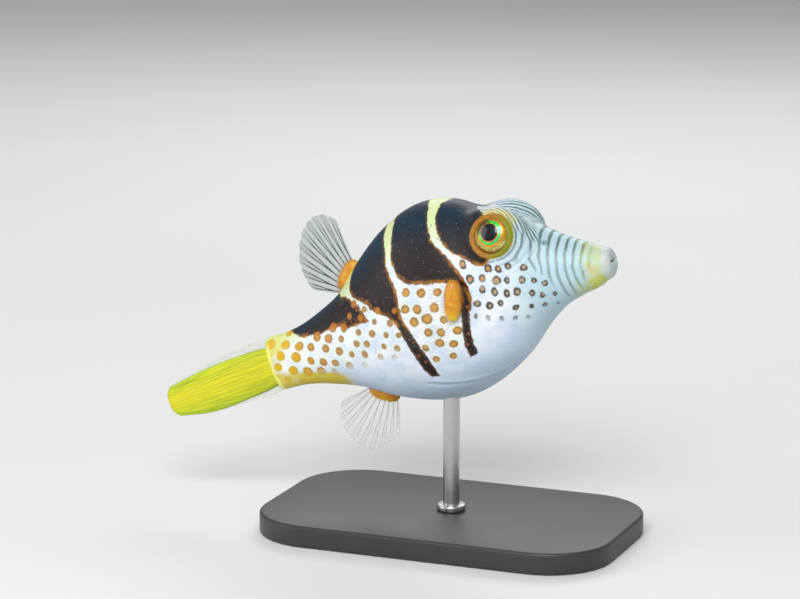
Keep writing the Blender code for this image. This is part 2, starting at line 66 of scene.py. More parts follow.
eye = {
    "x": 51.1, "y": 7.4, "z": 11.5, "looksUp": 12.0, "ball": 3.8, "depth": 2.5, "opening": 3.2,
    "moundAt": (50.3, 4.5, 10.7), "moundHalf": (6.4, 3.5, 5.65), "moundDips": 18.0,
    "moundTurnsIn": 5.0, "moundBlend": 1.6,
    "moundSearch": (0.9, 1.6, 71),  # shares of the body's reach that are tried, and how many
    "hollowDepth": 0.5, "hollowLength": 5.0, "hollowWidth": 3.0, "ring": 4.2,
}


def smoothCurve(x, points):
    # a smooth line through the points, held level past their ends
    xs = np.array([p[0] for p in points], float)
    ys = np.array([p[1] for p in points], float)
    slopes = np.gradient(ys, xs)
    x = np.clip(np.asarray(x, float), xs[0], xs[-1])
    i = np.clip(np.searchsorted(xs, x, side="right") - 1, 0, len(xs) - 2)
    span = xs[i + 1] - xs[i]
    t = (x - xs[i]) / span
    return ((2 * t**3 - 3 * t**2 + 1) * ys[i] + (t**3 - 2 * t**2 + t) * span * slopes[i]
            + (3 * t**2 - 2 * t**3) * ys[i + 1] + (t**3 - t**2) * span * slopes[i + 1])


def bell(distance, reach):
    # 1 in the middle and nearly 0 past twice the reach
    return np.exp(-(np.asarray(distance, float) / reach) ** 2)


def ease(value, low, high):
    # 0 at low, 1 at high and smooth between
    t = np.clip((np.asarray(value, float) - low) / (high - low), 0, 1)
    return t * t * (3 - 2 * t)


def fishPlace():
    # the nose is turned up and the lowest of the belly stands over the rod
    tilt = math.radians(stance["noseUp"])
    belly = float(smoothCurve(stance["bellyX"], body["belly"]))
    overBase = stance["bellyX"] * math.cos(tilt) - belly * math.sin(tilt)
    return Matrix.Translation((-overBase * mm, 0, stance["height"] * mm)) @ Matrix.Rotation(-tilt, 4, "Y")


place = fishPlace()
placeTurn = np.array(place.to_3x3())
placeMove = np.array(place.translation)


def toWorld(points):
    return np.asarray(points, float) * mm @ placeTurn.T + placeMove


def overEyeMounds(x, waist, c, s, reach):
    # lengthens each spoke to where the body and the mound under the eye run into each other
    lean = Matrix.Rotation(math.radians(eye["looksUp"]), 3, "X")
    dip = Matrix.Rotation(math.radians(eye["moundDips"]), 3, "Y")
    turn = Matrix.Rotation(math.radians(-eye["moundTurnsIn"]), 3, "Z")
    axes = np.array(lean @ dip @ turn)
    half = np.array(eye["moundHalf"])
    trial = reach[..., None] * np.linspace(*eye["moundSearch"])
    spot = np.stack([x[..., None] + 0 * trial, np.abs(trial * c[..., None]),
                     waist[..., None] + trial * s[..., None]], axis=-1)
    inside = (spot - np.array(eye["moundAt"])) @ axes / half
    fromMound = (np.linalg.norm(inside, axis=-1) - 1) * half.min()
    fromBody = trial - reach[..., None]
    share = np.clip(0.5 + 0.5 * (fromBody - fromMound) / eye["moundBlend"], 0, 1)
    joined = fromBody + (fromMound - fromBody) * share - eye["moundBlend"] * share * (1 - share)
    steps = trial.shape[-1]
    last = np.clip(steps - 1 - np.argmax(joined[..., ::-1] < 0, axis=-1), 0, steps - 2)[..., None]
    near, far = np.take_along_axis(joined, last, -1), np.take_along_axis(joined, last + 1, -1)
    start, stop = np.take_along_axis(trial, last, -1), np.take_along_axis(trial, last + 1, -1)
    return (start + (stop - start) * near / (near - far))[..., 0]


def bodyPoints(x, angle):
    # one ring of the body, or many, with the hollow between the eyes and the belly's keel
    x = np.broadcast_to(np.asarray(x, float), np.shape(angle)).copy()
    back, belly = smoothCurve(x, body["back"]), smoothCurve(x, body["belly"])
    half, waist = smoothCurve(x, body["half"]), smoothCurve(x, body["waist"])
    c, s = np.cos(angle), np.sin(angle)
    power = np.where(s >= 0, body["backRoundness"], body["bellyRoundness"])
    high = np.where(s >= 0, back - waist, waist - belly)
    reach = (np.abs(c / half) ** power + np.abs(s / high) ** power) ** (-1 / power)
    beside = reach * c
    hollow = (eye["hollowDepth"] * bell(x - eye["x"], eye["hollowLength"])
              * bell(beside, eye["hollowWidth"]))
    keel = (body["keelDepth"] * bell(x - body["keelMiddle"], body["keelLength"])
            * bell(beside, body["keelWidth"]))
    reach = reach + np.where(s > 0, -hollow, keel)
    reach = overEyeMounds(x, waist, c, s, reach)
    return np.stack([x, reach * c, waist + reach * s], axis=-1)


def lipPoints(step, angle):
    # step runs from 0 at the snout to 1 inside the mouth
    table = body["lips"]
    steps = np.linspace(0, 1, len(table))
    reach, across, high = [float(smoothCurve(step, list(zip(steps, column)))) for column in zip(*table)]
    root = bodyPoints(body["lipsFrom"], angle)
    middle = (root.max(axis=0) + root.min(axis=0)) / 2
    points = middle + (root - middle) * np.array([1.0, across, high])
    points[:, 0] = reach + body["upperLipReach"] * np.sin(angle) * high * ease(step, 0, 0.2)
    return points


def eyeFrame(side):
    up = math.radians(eye["looksUp"])
    looks = np.array([0.0, side * math.cos(up), math.sin(up)])
    above = np.array([0.0, -side * math.sin(up), math.cos(up)])
    centre = np.array([eye["x"], side * eye["y"], eye["z"]])
    return centre, looks, above


def eyePolar(points):
    # in-plane distance and turn about the nearer eye, and height over its opening
    side = np.where(points[..., 1] < 0, -1.0, 1.0)
    up = math.radians(eye["looksUp"])
    along = points[..., 0] - eye["x"]
    out = points[..., 1] * side - eye["y"]
    rise = points[..., 2] - eye["z"]
    height = out * math.cos(up) + rise * math.sin(up)
    above = rise * math.cos(up) - out * math.sin(up)
    return np.hypot(along, above), np.arctan2(above, along), height


def frontOfRing(turn):
    # from -1 at the orange rear of the ring round an eye to 1 at its olive front
    return np.sin(turn + 2.1)


# Tools for meshes

def deselectAll():
    bpy.ops.object.select_all(action="DESELECT")


def namedMesh(name):
    obj = bpy.context.object
    obj.name = name
    obj.data.name = name
    return obj


def setPoints(obj, points):
    obj.data.vertices.foreach_set("co", np.asarray(points, np.float32).reshape(-1))
    obj.data.update()


def getPoints(obj):
    points = np.zeros(len(obj.data.vertices) * 3, np.float32)
    obj.data.vertices.foreach_get("co", points)
    return points.reshape(-1, 3).astype(float)


def addValues(obj, name, values):
    layer = obj.data.attributes.new(name, "FLOAT", "POINT")
    layer.data.foreach_set("value", np.asarray(values, np.float32).reshape(-1))


def makeActive(obj):
    deselectAll()
    bpy.context.view_layer.objects.active = obj
    obj.select_set(True)


def outwards(obj):
    makeActive(obj)
    bpy.ops.object.mode_set(mode="EDIT")
    bpy.ops.mesh.select_all(action="SELECT")
    bpy.ops.mesh.normals_make_consistent(inside=False)
    bpy.ops.object.mode_set(mode="OBJECT")


def smoothed(obj):
    makeActive(obj)
    bpy.ops.object.shade_smooth()


def addSphere(name, segments, rings):
    # a ball of radius 1 to be shaped, and its points
    deselectAll()
    bpy.ops.mesh.primitive_uv_sphere_add(segments=segments, ring_count=rings, radius=1.0)
    obj = namedMesh(name)
    return obj, getPoints(obj)


seamRoom = 1.02  # the last faces round a closed piece end this far along its patch


def unwrapUv(obj, u, v, closedRound=True):
    # one patch from each point's place along and around the piece
    layer = obj.data.uv_layers[0] if obj.data.uv_layers else obj.data.uv_layers.new()
    layer.name = "OFBake"
    starts = np.zeros(len(obj.data.polygons), int)
    totals = np.zeros(len(obj.data.polygons), int)
    obj.data.polygons.foreach_get("loop_start", starts)
    obj.data.polygons.foreach_get("loop_total", totals)
    corner = np.zeros(len(obj.data.loops), int)
    obj.data.loops.foreach_get("vertex_index", corner)
    face = np.repeat(np.arange(len(starts)), totals)
    around = np.asarray(u, float)[corner]
    if closedRound:
        widest = np.zeros(len(starts))
        np.maximum.at(widest, face, around)
        around = np.where(widest[face] - around > 0.5, around + 1, around) / seamRoom
    uv = np.stack([around, np.asarray(v, float)[corner]], axis=-1)
    layer.data.foreach_set("uv", uv.astype(np.float32).reshape(-1))


def unwrapSphere(obj, sphere):
    around = (np.arctan2(sphere[:, 1], sphere[:, 0]) / (2 * math.pi)) % 1.0
    unwrapUv(obj, around, 0.5 + np.arcsin(np.clip(sphere[:, 2], -1, 1)) / math.pi)


# Tools for materials

def colour(red, green, blue):
    # from the values a screen shows to linear light
    values = [v / 255 for v in (red, green, blue)]
    return tuple(v / 12.92 if v <= 0.04045 else ((v + 0.055) / 1.055) ** 2.4 for v in values) + (1.0,)


def palette(**tones):
    return {name: colour(*tone) for name, tone in tones.items()}


class Nodes:
    # adds nodes to the tree of one material or group
    def __init__(self, tree):
        self.tree = tree
        self.coords = self.add("ShaderNodeTexCoord").outputs["Object"]
        self.read = {}

    def give(self, socket, value):
        if isinstance(value, bpy.types.NodeSocket):
            self.tree.links.new(value, socket)
        else:
            socket.default_value = value

    def feed(self, node, inputs):
        for name, value in inputs.items():
            self.give(node.inputs[name], value)

    def add(self, kind, inputs=None, **settings):
        node = self.tree.nodes.new(kind)
        for name, value in settings.items():
            setattr(node, name, value)
        self.feed(node, inputs or {})
        return node

    def value(self, name):
        if name not in self.read:
            self.read[name] = self.add("ShaderNodeAttribute", attribute_name=name).outputs["Fac"]
        return self.read[name]

    def math(self, operation, first, second=0.0, third=0.0):
        return self.add("ShaderNodeMath", {0: first, 1: second, 2: third}, operation=operation).outputs[0]

    def times(self, first, *others):
        for other in others:
            first = self.math("MULTIPLY", first, other)
        return first

    def scaled(self, value, factor, start):
        return self.math("MULTIPLY_ADD", value, factor, start)

    def centred(self, value):
        return self.math("SUBTRACT", value, 0.5)

    def wave(self, turn):
        return self.math("SINE", turn)

    def step(self, value, low, high):
        inputs = {"Value": value, "From Min": low, "From Max": high}
        return self.add("ShaderNodeMapRange", inputs, interpolation_type="SMOOTHSTEP").outputs["Result"]

    def between(self, value, low, high):
        inputs = {"Value": value, "To Min": low, "To Max": high}
        return self.add("ShaderNodeMapRange", inputs).outputs["Result"]

    def mix(self, factor, first, second):
        # the Mix node's colours are its inputs 6 and 7 and its output 2
        return self.add("ShaderNodeMix", {"Factor": factor, 6: first, 7: second}, data_type="RGBA",
                        clamp_factor=True).outputs[2]

    def tint(self, base, mask, share, tone):
        # lays a share of one colour over another where the mask is
        return self.mix(self.times(mask, share), base, tone)

    def noise(self, scale, detail, roughness, vector=None):
        # the scale is per metre, as it is for dots and for a ragged edge's grain
        place = self.coords if vector is None else vector
        inputs = {"Scale": scale, "Detail": detail, "Roughness": roughness, "Vector": place}
        return self.add("ShaderNodeTexNoise", inputs).outputs["Fac"]

    def bump(self, strength, depth, height):
        # the depth is in millimetres
        inputs = {"Strength": strength, "Distance": depth * mm, "Height": height}
        return self.add("ShaderNodeBump", inputs).outputs["Normal"]

    def group(self, tree, inputs):
        return self.add("ShaderNodeGroup", inputs, node_tree=tree).outputs

    def dots(self, scale, size, share):
        return self.group(specks, {"Scale": scale, "Size": size, "Share": share})["Mask"]

    def ragged(self, distance, shift, roughen, grain, softness):
        return self.group(raggedEdge, {"Distance": distance, "Shift": shift, "Roughen": roughen,
                                       "Grain": grain, "Softness": softness})["Mask"]


def newMaterial(name):
    material = bpy.data.materials.new(name)
    material.use_nodes = True
    return material, Nodes(material.node_tree), material.node_tree.nodes["Principled BSDF"]


def newGroup(name, inputs, outputs):
    # each input is a number, given with what it is where nothing feeds it
    tree = bpy.data.node_groups.new(name, "ShaderNodeTree")
    for socket, default in inputs.items():
        made = tree.interface.new_socket(socket, in_out="INPUT", socket_type="NodeSocketFloat")
        made.default_value = default
    for socket, kind in outputs.items():
        tree.interface.new_socket(socket, in_out="OUTPUT", socket_type=kind)
    nodes = Nodes(tree)
    return nodes, nodes.add("NodeGroupInput").outputs, nodes.add("NodeGroupOutput")


def makeRaggedEdge():
    # a mask from a distance in millimetres, its edge roughened by noise
    nodes, taken, given = newGroup(
        "raggedEdge",
        {"Distance": 0.0, "Shift": 0.0, "Roughen": 0.2, "Grain": 900.0, "Softness": 0.1},
        {"Mask": "NodeSocketFloat"})
    wobble = nodes.times(nodes.centred(nodes.noise(taken["Grain"], 3.0, 0.6)), taken["Roughen"])
    moved = nodes.math("ADD", taken["Distance"], taken["Shift"])
    moved = nodes.scaled(wobble, 4.0, moved)
    low = nodes.times(taken["Softness"], -1.0)
    nodes.feed(given, {"Mask": nodes.step(moved, low, taken["Softness"])})
    return nodes.tree


def makeSpecks():
    # small round dots scattered over a surface, a share of them left out
    nodes, taken, given = newGroup("specks", {"Scale": 1000.0, "Size": 0.2, "Share": 0.5},
                                   {"Mask": "NodeSocketFloat"})
    cells = nodes.add("ShaderNodeTexVoronoi", {"Vector": nodes.coords, "Scale": taken["Scale"]}).outputs
    dot = nodes.step(nodes.math("SUBTRACT", taken["Size"], cells["Distance"]), 0.0, 0.07)
    pick = nodes.add("ShaderNodeSeparateColor", {"Color": cells["Color"]}).outputs["Red"]
    nodes.feed(given, {"Mask": nodes.times(dot, nodes.math("LESS_THAN", pick, taken["Share"]))})
    return nodes.tree


# the inside tone is painted shade for the ring's inner edge
ringPaint = palette(rear=(152, 98, 4), front=(128, 134, 28), speck=(196, 148, 36), inside=(70, 56, 16))


def makeEyeRing():
    # the orange to olive ring of skin round an eye, from the distance to its middle in millimetres
    nodes, taken, given = newGroup("eyeRing", {"Far": 9.0, "Front": 0.0},
                                   {"Mask": "NodeSocketFloat", "Color": "NodeSocketColor"})
    base = nodes.mix(nodes.step(taken["Front"], -0.3, 0.8), ringPaint["rear"], ringPaint["front"])
    grain = nodes.noise(1500.0, 3.0, 0.6)
    base = nodes.tint(base, nodes.step(grain, 0.45, 0.75), 0.35, ringPaint["speck"])
    # painted shade darkens the ring's inner edge, where the skin turns down to the ball
    base = nodes.tint(base, nodes.step(taken["Far"], 3.2, 3.0), 0.5, ringPaint["inside"])
    soft = nodes.scaled(nodes.centred(grain), 0.5, taken["Far"])
    nodes.feed(given, {"Mask": nodes.step(soft, 4.1, 3.7), "Color": base})
    return nodes.tree


raggedEdge = makeRaggedEdge()
specks = makeSpecks()
eyeRing = makeEyeRing()
print("shared effects ready")

# The skin: one closed surface over head, trunk and tail stem

skin = {
    "around": 300, "along": 320, "lipRings": 40, "tailRings": 10, "tailCap": 1.0, "tailCloses": 0.96,
    "headFrom": 46.0, "headRings": 128,
    "socket": {"rim": 3.85, "rimWidth": 0.5, "rimHeight": 0.22, "edge": 3.65, "floor": 3.0,
               "depth": 2.3, "headFrom": 40.0, "lowest": -3.5},
    "folds": {"height": 0.09, "crest": 5.0, "pitch": 0.95, "starts": (4.5, 4.9), "ends": (8.5, 5.5),
              "forward": (-0.35, 0.5)},
    "gill": {"x": 44.6, "z": 2.8, "length": 5.6, "bow": 0.7, "width": 0.32, "depth": 0.75,
             "ends": (1.1, 0.8), "lip": 0.22, "lipAt": 0.75, "lipWidth": 0.55, "fromMiddle": 4.0},
    "nostril": {"x": 58.6, "z": 7.5, "pit": 0.3, "depth": 0.55, "rim": 0.465, "rimHeight": 0.22,
                "rimWidth": 0.2, "fromMiddle": 1.0, "tintReach": 0.32},
    "lips": {"swellAt": 67.3, "swell": 0.08, "swellWidth": 0.6, "grooveAt": 66.1, "groove": 0.1,
             "grooveWidth": 0.4, "furrows": 29, "furrowDepth": 0.014, "furrowsFrom": (66.9, 67.8)},
    "crease": {"line": [(29, -54), (32.5, -58), (39.3, -70.5), (44, -80), (48, -88)], "depth": 0.3,
               "width": 0.4, "swell": 0.16, "swellAt": 0.7, "swellWidth": 0.6,
               "starts": (29.0, 35.0), "ends": (48.0, 44.0)},
}
# the front and rear edges of the dark saddles as (angle above the flank, x), and where each ends low
saddles = [
    {"front": [(30, 48.3), (34, 49.4), (45, 50.6), (60, 50.6), (68.5, 49.8), (80, 48.2), (90, 47.2)],
     "rear": [(30, 48.0), (34.5, 46.9), (41, 45.3), (47, 43.6), (54.5, 42.3), (63.5, 41.5), (78.5, 41.7),
              (90, 43.4)],
     "from": 31.0},
    {"front": [(-47, 42.3), (-30, 42.6), (-15, 43.4), (5, 44.9), (12.5, 44.9), (25.5, 44.5), (35.5, 43.6),
               (48, 41.9), (56, 40.4), (64.5, 39.8), (79.5, 39.6), (90, 39.0)],
     "rear": [(-47, 40.9), (-32.5, 41.1), (-18, 41.9), (-6.5, 42.6), (15.5, 43.2), (22, 42.7), (25.5, 41.0),
              (28.5, 38.1), (33, 34.9), (38.5, 33.3), (48.5, 32.3), (56, 31.9), (63.5, 32.2), (74, 32.5),
              (90, 32.4)],
     "from": -45.0},
    {"front": [(-52, 33.9), (-32, 33.4), (-11.5, 32.5), (6, 31.6), (20.5, 31.5), (30, 31.8), (41.5, 31.2),
               (52, 30.6), (62, 30.6), (69.5, 30.3), (90, 30.4)],
     "rear": [(-52, 32.6), (-42.5, 31.9), (-25.5, 31.2), (-9, 30.6), (6, 29.8), (17.5, 27.9), (21.5, 26.7),
              (35.5, 24.6), (51, 21.8), (61, 21.0), (72, 21.4), (90, 22.2)],
     "from": -50.0},
    {"front": [(17, 24.3), (25, 23.7), (38.5, 22.6), (50.5, 20.8), (70, 17.8), (90, 16.8)],
     "rear": [(17, 24.0), (19, 22.9), (22, 19.6), (30, 17.2), (35, 15.0), (38, 12.5), (45, 10.2), (60, 7.3),
              (90, 5.0)],
     "from": 18.0},
]
# where the fine lines of the head give way to the spots of the cheek, as (x, z)
cheekTop = [(44, 9.5), (48, 7.2), (51, 6.3), (54, 5.8), (56.3, 3.4), (58, 1.2), (59.6, -2.6), (61.5, -2.8),
            (63.8, -0.6), (65.5, 1.0), (67, 2.0)]
# where the spots fade out towards the belly, as (x, z)
spotsEnd = [(0, -4.9), (15, -4.7), (27, -4.4), (30.5, -4.6), (33, -7.0), (42, -6.6), (44.5, -2.8),
            (48, -3.8), (52, -4.8), (57, -4.4), (61, -4.2)]
# fields of spots, laid in rows: where they lie, how they are spaced, turned, sized and stretched, how
# far into a saddle they go, and their kind, from 0 for the stem to 1 for the cheek
spotFields = [
    {"x": (0.7, 31.0), "z": (-9.0, 9.0), "middle": 14.0, "pitch": 2.95, "row": 2.3, "slope": -0.3,
     "jitter": 0.32, "stretch": (1.0, 1.2), "size": [(0, 0.84), (10, 0.84), (18, 0.68), (30, 0.5)],
     "inDark": 1.2, "kind": 0.0},
    {"x": (32.5, 42.6), "z": (-7.6, 8.0), "middle": 37.0, "pitch": 2.75, "row": 2.4, "slope": -0.2,
     "jitter": 0.34, "stretch": (0.86, 1.16), "size": [(32, 0.82), (42, 0.76)],
     "inDark": -0.75, "kind": 0.22},
    {"x": (44.8, 60.5), "z": (-7.0, 10.9), "middle": 50.0, "pitch": 1.95, "row": 2.3, "slope": -0.38,
     "jitter": 0.4, "stretch": (0.64, 1.12), "size": [(45, 0.78), (50, 0.7), (55, 0.6), (60, 0.46)],
     "inDark": -0.55, "kind": 1.0},
]
spotRules = {"sizes": (0.84, 1.14), "gap": 0.36, "offSkin": 0.5, "underLines": 0.2,
             "smallest": 0.6, "fullSizeOver": (0.5, 6.0), "fadesOver": (-0.6, 2.4)}
# how strong the yellow is in each place
yellows = {"underStem": 1.5, "stemTop": 1.0, "stemEnd": 0.5, "snoutRing": 0.7, "chin": 1.1, "brow": 0.6}
# how the fine lines are counted by distance from the ring of the eye, across the snout and on the brow
lines = {
    "round": [(-2, -1.6), (0, 0.15), (1.2, 1.25), (3.1, 2.25), (4.4, 3.25), (8, 6.0)],
    "roundWide": 1.1, "lowSquash": 0.45, "squashLift": (42, 15), "squashX": (52.5, 55.0),
    "snoutAt": 57.1, "snoutPitch": 1.32, "snoutCount": 3.25, "snoutLean": 1.05, "snoutX": (55.6, 58.0),
    "browLong": 0.75, "browWide": 1.1, "browAt": 2.0, "browPitch": 0.62, "browCount": 0.3,
    "browLift": (54.5, 59.0), "browX": (57.7, 57.0), "browLean": 0.03,
    "aboveCheek": (-0.6, 0.9), "fromX": (46.2, 47.6), "toX": (66.2, 64.8), "pastSaddle": (-0.4, 0.3),
}


def ringStations():
    # the rings of the skin from inside the mouth to the closed end of the stem
    lips = [("lip", t) for t in np.linspace(1, 0, skin["lipRings"])[:-1]]
    head = np.linspace(body["lipsFrom"], skin["headFrom"], skin["headRings"])[:-1]
    left = skin["along"] - 1 - len(lips) - len(head) - skin["tailRings"]
    rest = np.linspace(skin["headFrom"], 0, left)
    tail = [("tail", t) for t in np.linspace(0, 1, skin["tailRings"] + 1)[1:]]
    return lips + [("body", x) for x in np.concatenate([head, rest])] + tail


def skinRings(angles):
    # the points of all the rings before their relief
    rings = []
    tailRing = bodyPoints(0.0, angles)
    middle = tailRing.mean(axis=0)
    for kind, value in ringStations():
        if kind == "body":
            ring = bodyPoints(value, angles)
        elif kind == "lip":
            ring = lipPoints(value, angles)
        else:
            ring = middle + (tailRing - middle) * math.sqrt(max(0.0, 1 - value**2 * skin["tailCloses"]))
            ring[:, 0] = -skin["tailCap"] * math.sin(value * math.pi / 2)
        rings.append(ring)
    return np.array(rings)


def gridNormals(grid):
    # outward directions from the neighbours of each point
    along = np.gradient(grid, axis=0)
    around = np.roll(grid, -1, axis=1) - np.roll(grid, 1, axis=1)
    normal = np.cross(along, around)
    normal /= np.maximum(np.linalg.norm(normal, axis=-1, keepdims=True), 1e-9)
    outward = np.sum(normal * (grid - grid.mean(axis=1, keepdims=True)), axis=-1).mean()
    return normal if outward > 0 else -normal


def skinRelief(grid):
    # heights to add along the skin's normal
    return (eyeRelief(grid) + gillRelief(grid) + nostrilRelief(grid) + lipRelief(grid)
            + creaseRelief(grid))


def eyeRelief(grid):
    # the socket under each ball, and folds of skin round the front of the eye
    far, turn, height = eyePolar(grid)
    socket, folds = skin["socket"], skin["folds"]
    onHead = (grid[..., 0] > socket["headFrom"]) & (height > socket["lowest"])
    hollow = (socket["rimHeight"] * bell(far - socket["rim"], socket["rimWidth"])
              - socket["depth"] * ease(far, socket["edge"], socket["floor"]))
    waves = folds["height"] * np.cos((far - folds["crest"]) * 2 * math.pi / folds["pitch"])
    waves = waves * ease(far, *folds["starts"]) * ease(far, *folds["ends"])
    return (hollow + waves * ease(np.cos(turn), *folds["forward"])) * onHead


def gillRelief(grid):
    gill = skin["gill"]
    z = (grid[..., 2] - gill["z"]) / (gill["length"] / 2)
    beside = grid[..., 0] - (gill["x"] - gill["bow"] * z**2)
    slit = (gill["lip"] * bell(beside - gill["lipAt"], gill["lipWidth"])
            - gill["depth"] * bell(beside, gill["width"]))
    onFlank = np.abs(grid[..., 1]) > gill["fromMiddle"]
    return slit * ease(np.abs(z), *gill["ends"]) * onFlank


def nostrilDistance(grid):
    return np.hypot(grid[..., 0] - skin["nostril"]["x"], grid[..., 2] - skin["nostril"]["z"])


def nostrilRelief(grid):
    hole = skin["nostril"]
    near = nostrilDistance(grid)
    raised = hole["rimHeight"] * bell(near - hole["rim"], hole["rimWidth"])
    offMiddle = np.abs(grid[..., 1]) > hole["fromMiddle"]
    return (raised - hole["depth"] * bell(near, hole["pit"])) * offMiddle


def lipRelief(grid):
    # a swell and a groove behind it, and uneven furrows over the lips
    x, lips = grid[..., 0], skin["lips"]
    around = np.arange(grid.shape[1]) / grid.shape[1] * 2 * math.pi
    furrows = np.cos(around * lips["furrows"]) * np.cos(around * 3 + 0.7) + 0.6 * np.cos(around * 14 + 1.0)
    return (lips["swell"] * bell(x - lips["swellAt"], lips["swellWidth"])
            - lips["groove"] * bell(x - lips["grooveAt"], lips["grooveWidth"])
            - lips["furrowDepth"] * np.maximum(furrows, -0.4) * ease(x, *lips["furrowsFrom"]))


def creaseRelief(grid):
    # the long fold of loose skin low on the belly
    x, crease = grid[..., 0], skin["crease"]
    waist = smoothCurve(x, body["waist"])
    lift = np.degrees(np.arctan2(grid[..., 2] - waist, np.abs(grid[..., 1])))
    reach = np.hypot(grid[..., 1], grid[..., 2] - waist)
    away = np.radians(lift - smoothCurve(x, crease["line"])) * reach
    fold = (crease["swell"] * bell(away - crease["swellAt"], crease["swellWidth"])
            - crease["depth"] * bell(away, crease["width"]))
    return fold * ease(x, *crease["starts"]) * ease(x, *crease["ends"])


def saddleDistance(grid, lift, reach):
    # millimetres inside the nearest dark saddle, negative outside
    best = np.full(grid.shape[:2], -99.0)
    for saddle in saddles:
        front, rear = saddle["front"], saddle["rear"]
        inside = np.radians(lift - saddle["from"]) * reach
        for points, sign in ((front, 1.0), (rear, -1.0)):
            edge = smoothCurve(lift, points)
            slope = (smoothCurve(lift + 0.5, points) - edge) / (np.radians(0.5) * reach)
            inside = np.minimum(inside, sign * (edge - grid[..., 0]) / np.sqrt(1 + slope**2))
        best = np.maximum(best, inside)
    return best


def spotCentres(grid, dark, side):
    # staggered rows of spots, smaller towards the belly
    centres = []
    flank = np.sign(grid[..., 1]) == side
    places = grid[flank]
    darkness = dark[flank]
    tree = KDTree(len(places))
    for i, p in enumerate(places):
        tree.insert((p[0], 0.0, p[2]), i)
    tree.balance()
    for field in spotFields:
        rows = np.arange(field["z"][1], field["z"][0], -field["row"])
        for k, z in enumerate(rows):
            start = field["x"][0] + (0.5 * field["pitch"] if k % 2 else 0)
            for x in np.arange(start, field["x"][1], field["pitch"]):
                jitter = rng.uniform(-field["jitter"], field["jitter"], 2)
                px, pz = x + jitter[0], z + jitter[1] + field["slope"] * (x - field["middle"])
                _, index, off = tree.find((px, 0.0, pz))
                if off > spotRules["offSkin"] or darkness[index] > field["inDark"]:
                    continue
                if field["kind"] == 1.0 and pz > float(smoothCurve(px, cheekTop)) + spotRules["underLines"]:
                    continue
                left = pz - float(smoothCurve(px, spotsEnd))
                size = float(smoothCurve(px, field["size"])) * rng.uniform(*spotRules["sizes"])
                if field["kind"] > 0:
                    full = float(ease(left, *spotRules["fullSizeOver"]))
                    size *= spotRules["smallest"] + (1 - spotRules["smallest"]) * full
                stretch = rng.uniform(*field["stretch"])
                here = places[index]
                apart = size + spotRules["gap"]
                if all(np.linalg.norm(here - other[:3]) > apart + other[3] for other in centres):
                    centres.append(np.array([*here, size, field["kind"], stretch]))
    return centres


def spotValues(grid, dark):
    # distance inside the nearest spot, and that spot's kind
    inside = np.full(grid.shape[:2], -9.0)
    kind = np.zeros(grid.shape[:2])
    for side in (-1.0, 1.0):
        for x, y, z, size, sort, stretch in spotCentres(grid, dark, side):
            rows = np.abs(grid[:, 0, 0] - x) < 3.0
            away = (grid[rows] - np.array([x, y, z])) / np.array([stretch, 1.0, 1.0])
            value = size - np.linalg.norm(away, axis=-1)
            closer = value > inside[rows]
            inside[rows] = np.where(closer, value, inside[rows])
            kind[rows] = np.where(closer, sort, kind[rows])
    return inside, kind


def lineValues(grid, lift):
    # counts the fine lines round the front of each eye and across the snout, where each leans
    # forward towards the top; between the eyes a closer count of their own takes over
    x, z = grid[..., 0], grid[..., 2]
    y = np.sqrt(grid[..., 1] ** 2 + 0.8)
    ahead = np.maximum(x - eye["x"], 0)
    across = (y - eye["y"]) * lines["roundWide"]
    squash = 1 - lines["lowSquash"] * ease(lift, *lines["squashLift"]) * ease(x, *lines["squashX"])
    rise = (z - eye["z"]) * squash
    facing = smoothCurve(np.sqrt(ahead**2 + across**2 + rise**2) - eye["ring"], lines["round"])
    leaning = x - lines["snoutLean"] * ease(lift, 0, 90)
    crosswise = (leaning - lines["snoutAt"]) / lines["snoutPitch"] + lines["snoutCount"]
    count = facing + (crosswise - facing) * ease(x, *lines["snoutX"])
    inward = np.maximum(eye["y"] - np.sqrt(grid[..., 1] ** 2 + 0.06), 0)
    between = np.hypot(lines["browLong"] * ahead, lines["browWide"] * inward) - lines["browAt"]
    between = between / lines["browPitch"] + lines["browCount"]
    high = ease(lift, *lines["browLift"]) * ease(x + lines["browLean"] * (lift - 75), *lines["browX"])
    above = z - smoothCurve(x, cheekTop)
    show = ease(above, *lines["aboveCheek"]) * ease(x, *lines["fromX"]) * ease(x, *lines["toX"])
    front = smoothCurve(lift, saddles[0]["front"])
    return count, between, high, show * ease(x - front, *lines["pastSaddle"])


def yellowValues(x, lift, across, eyeFar, eyeTurn):
    places = {
        "underStem": ease(lift, -40, -58) * ease(x, 16.5, 12.0),
        "stemTop": ease(x, 5.5, 2.0) * ease(lift, 30, 60), "stemEnd": ease(x, 3.0, 0.5),
        "snoutRing": bell(x - 65.9, 1.8) * ease(x, 68.4, 67.0),
        "chin": bell(x - 64.2, 2.4) * ease(lift, -20, -55),
        "brow": ease(eyeFar, 5.2, 4.4) * ease(np.sin(eyeTurn), 0.0, 0.5) * ease(np.abs(across), 3.6, 4.6),
    }
    return np.clip(sum(yellows[place] * here for place, here in places.items()), 0, 1)


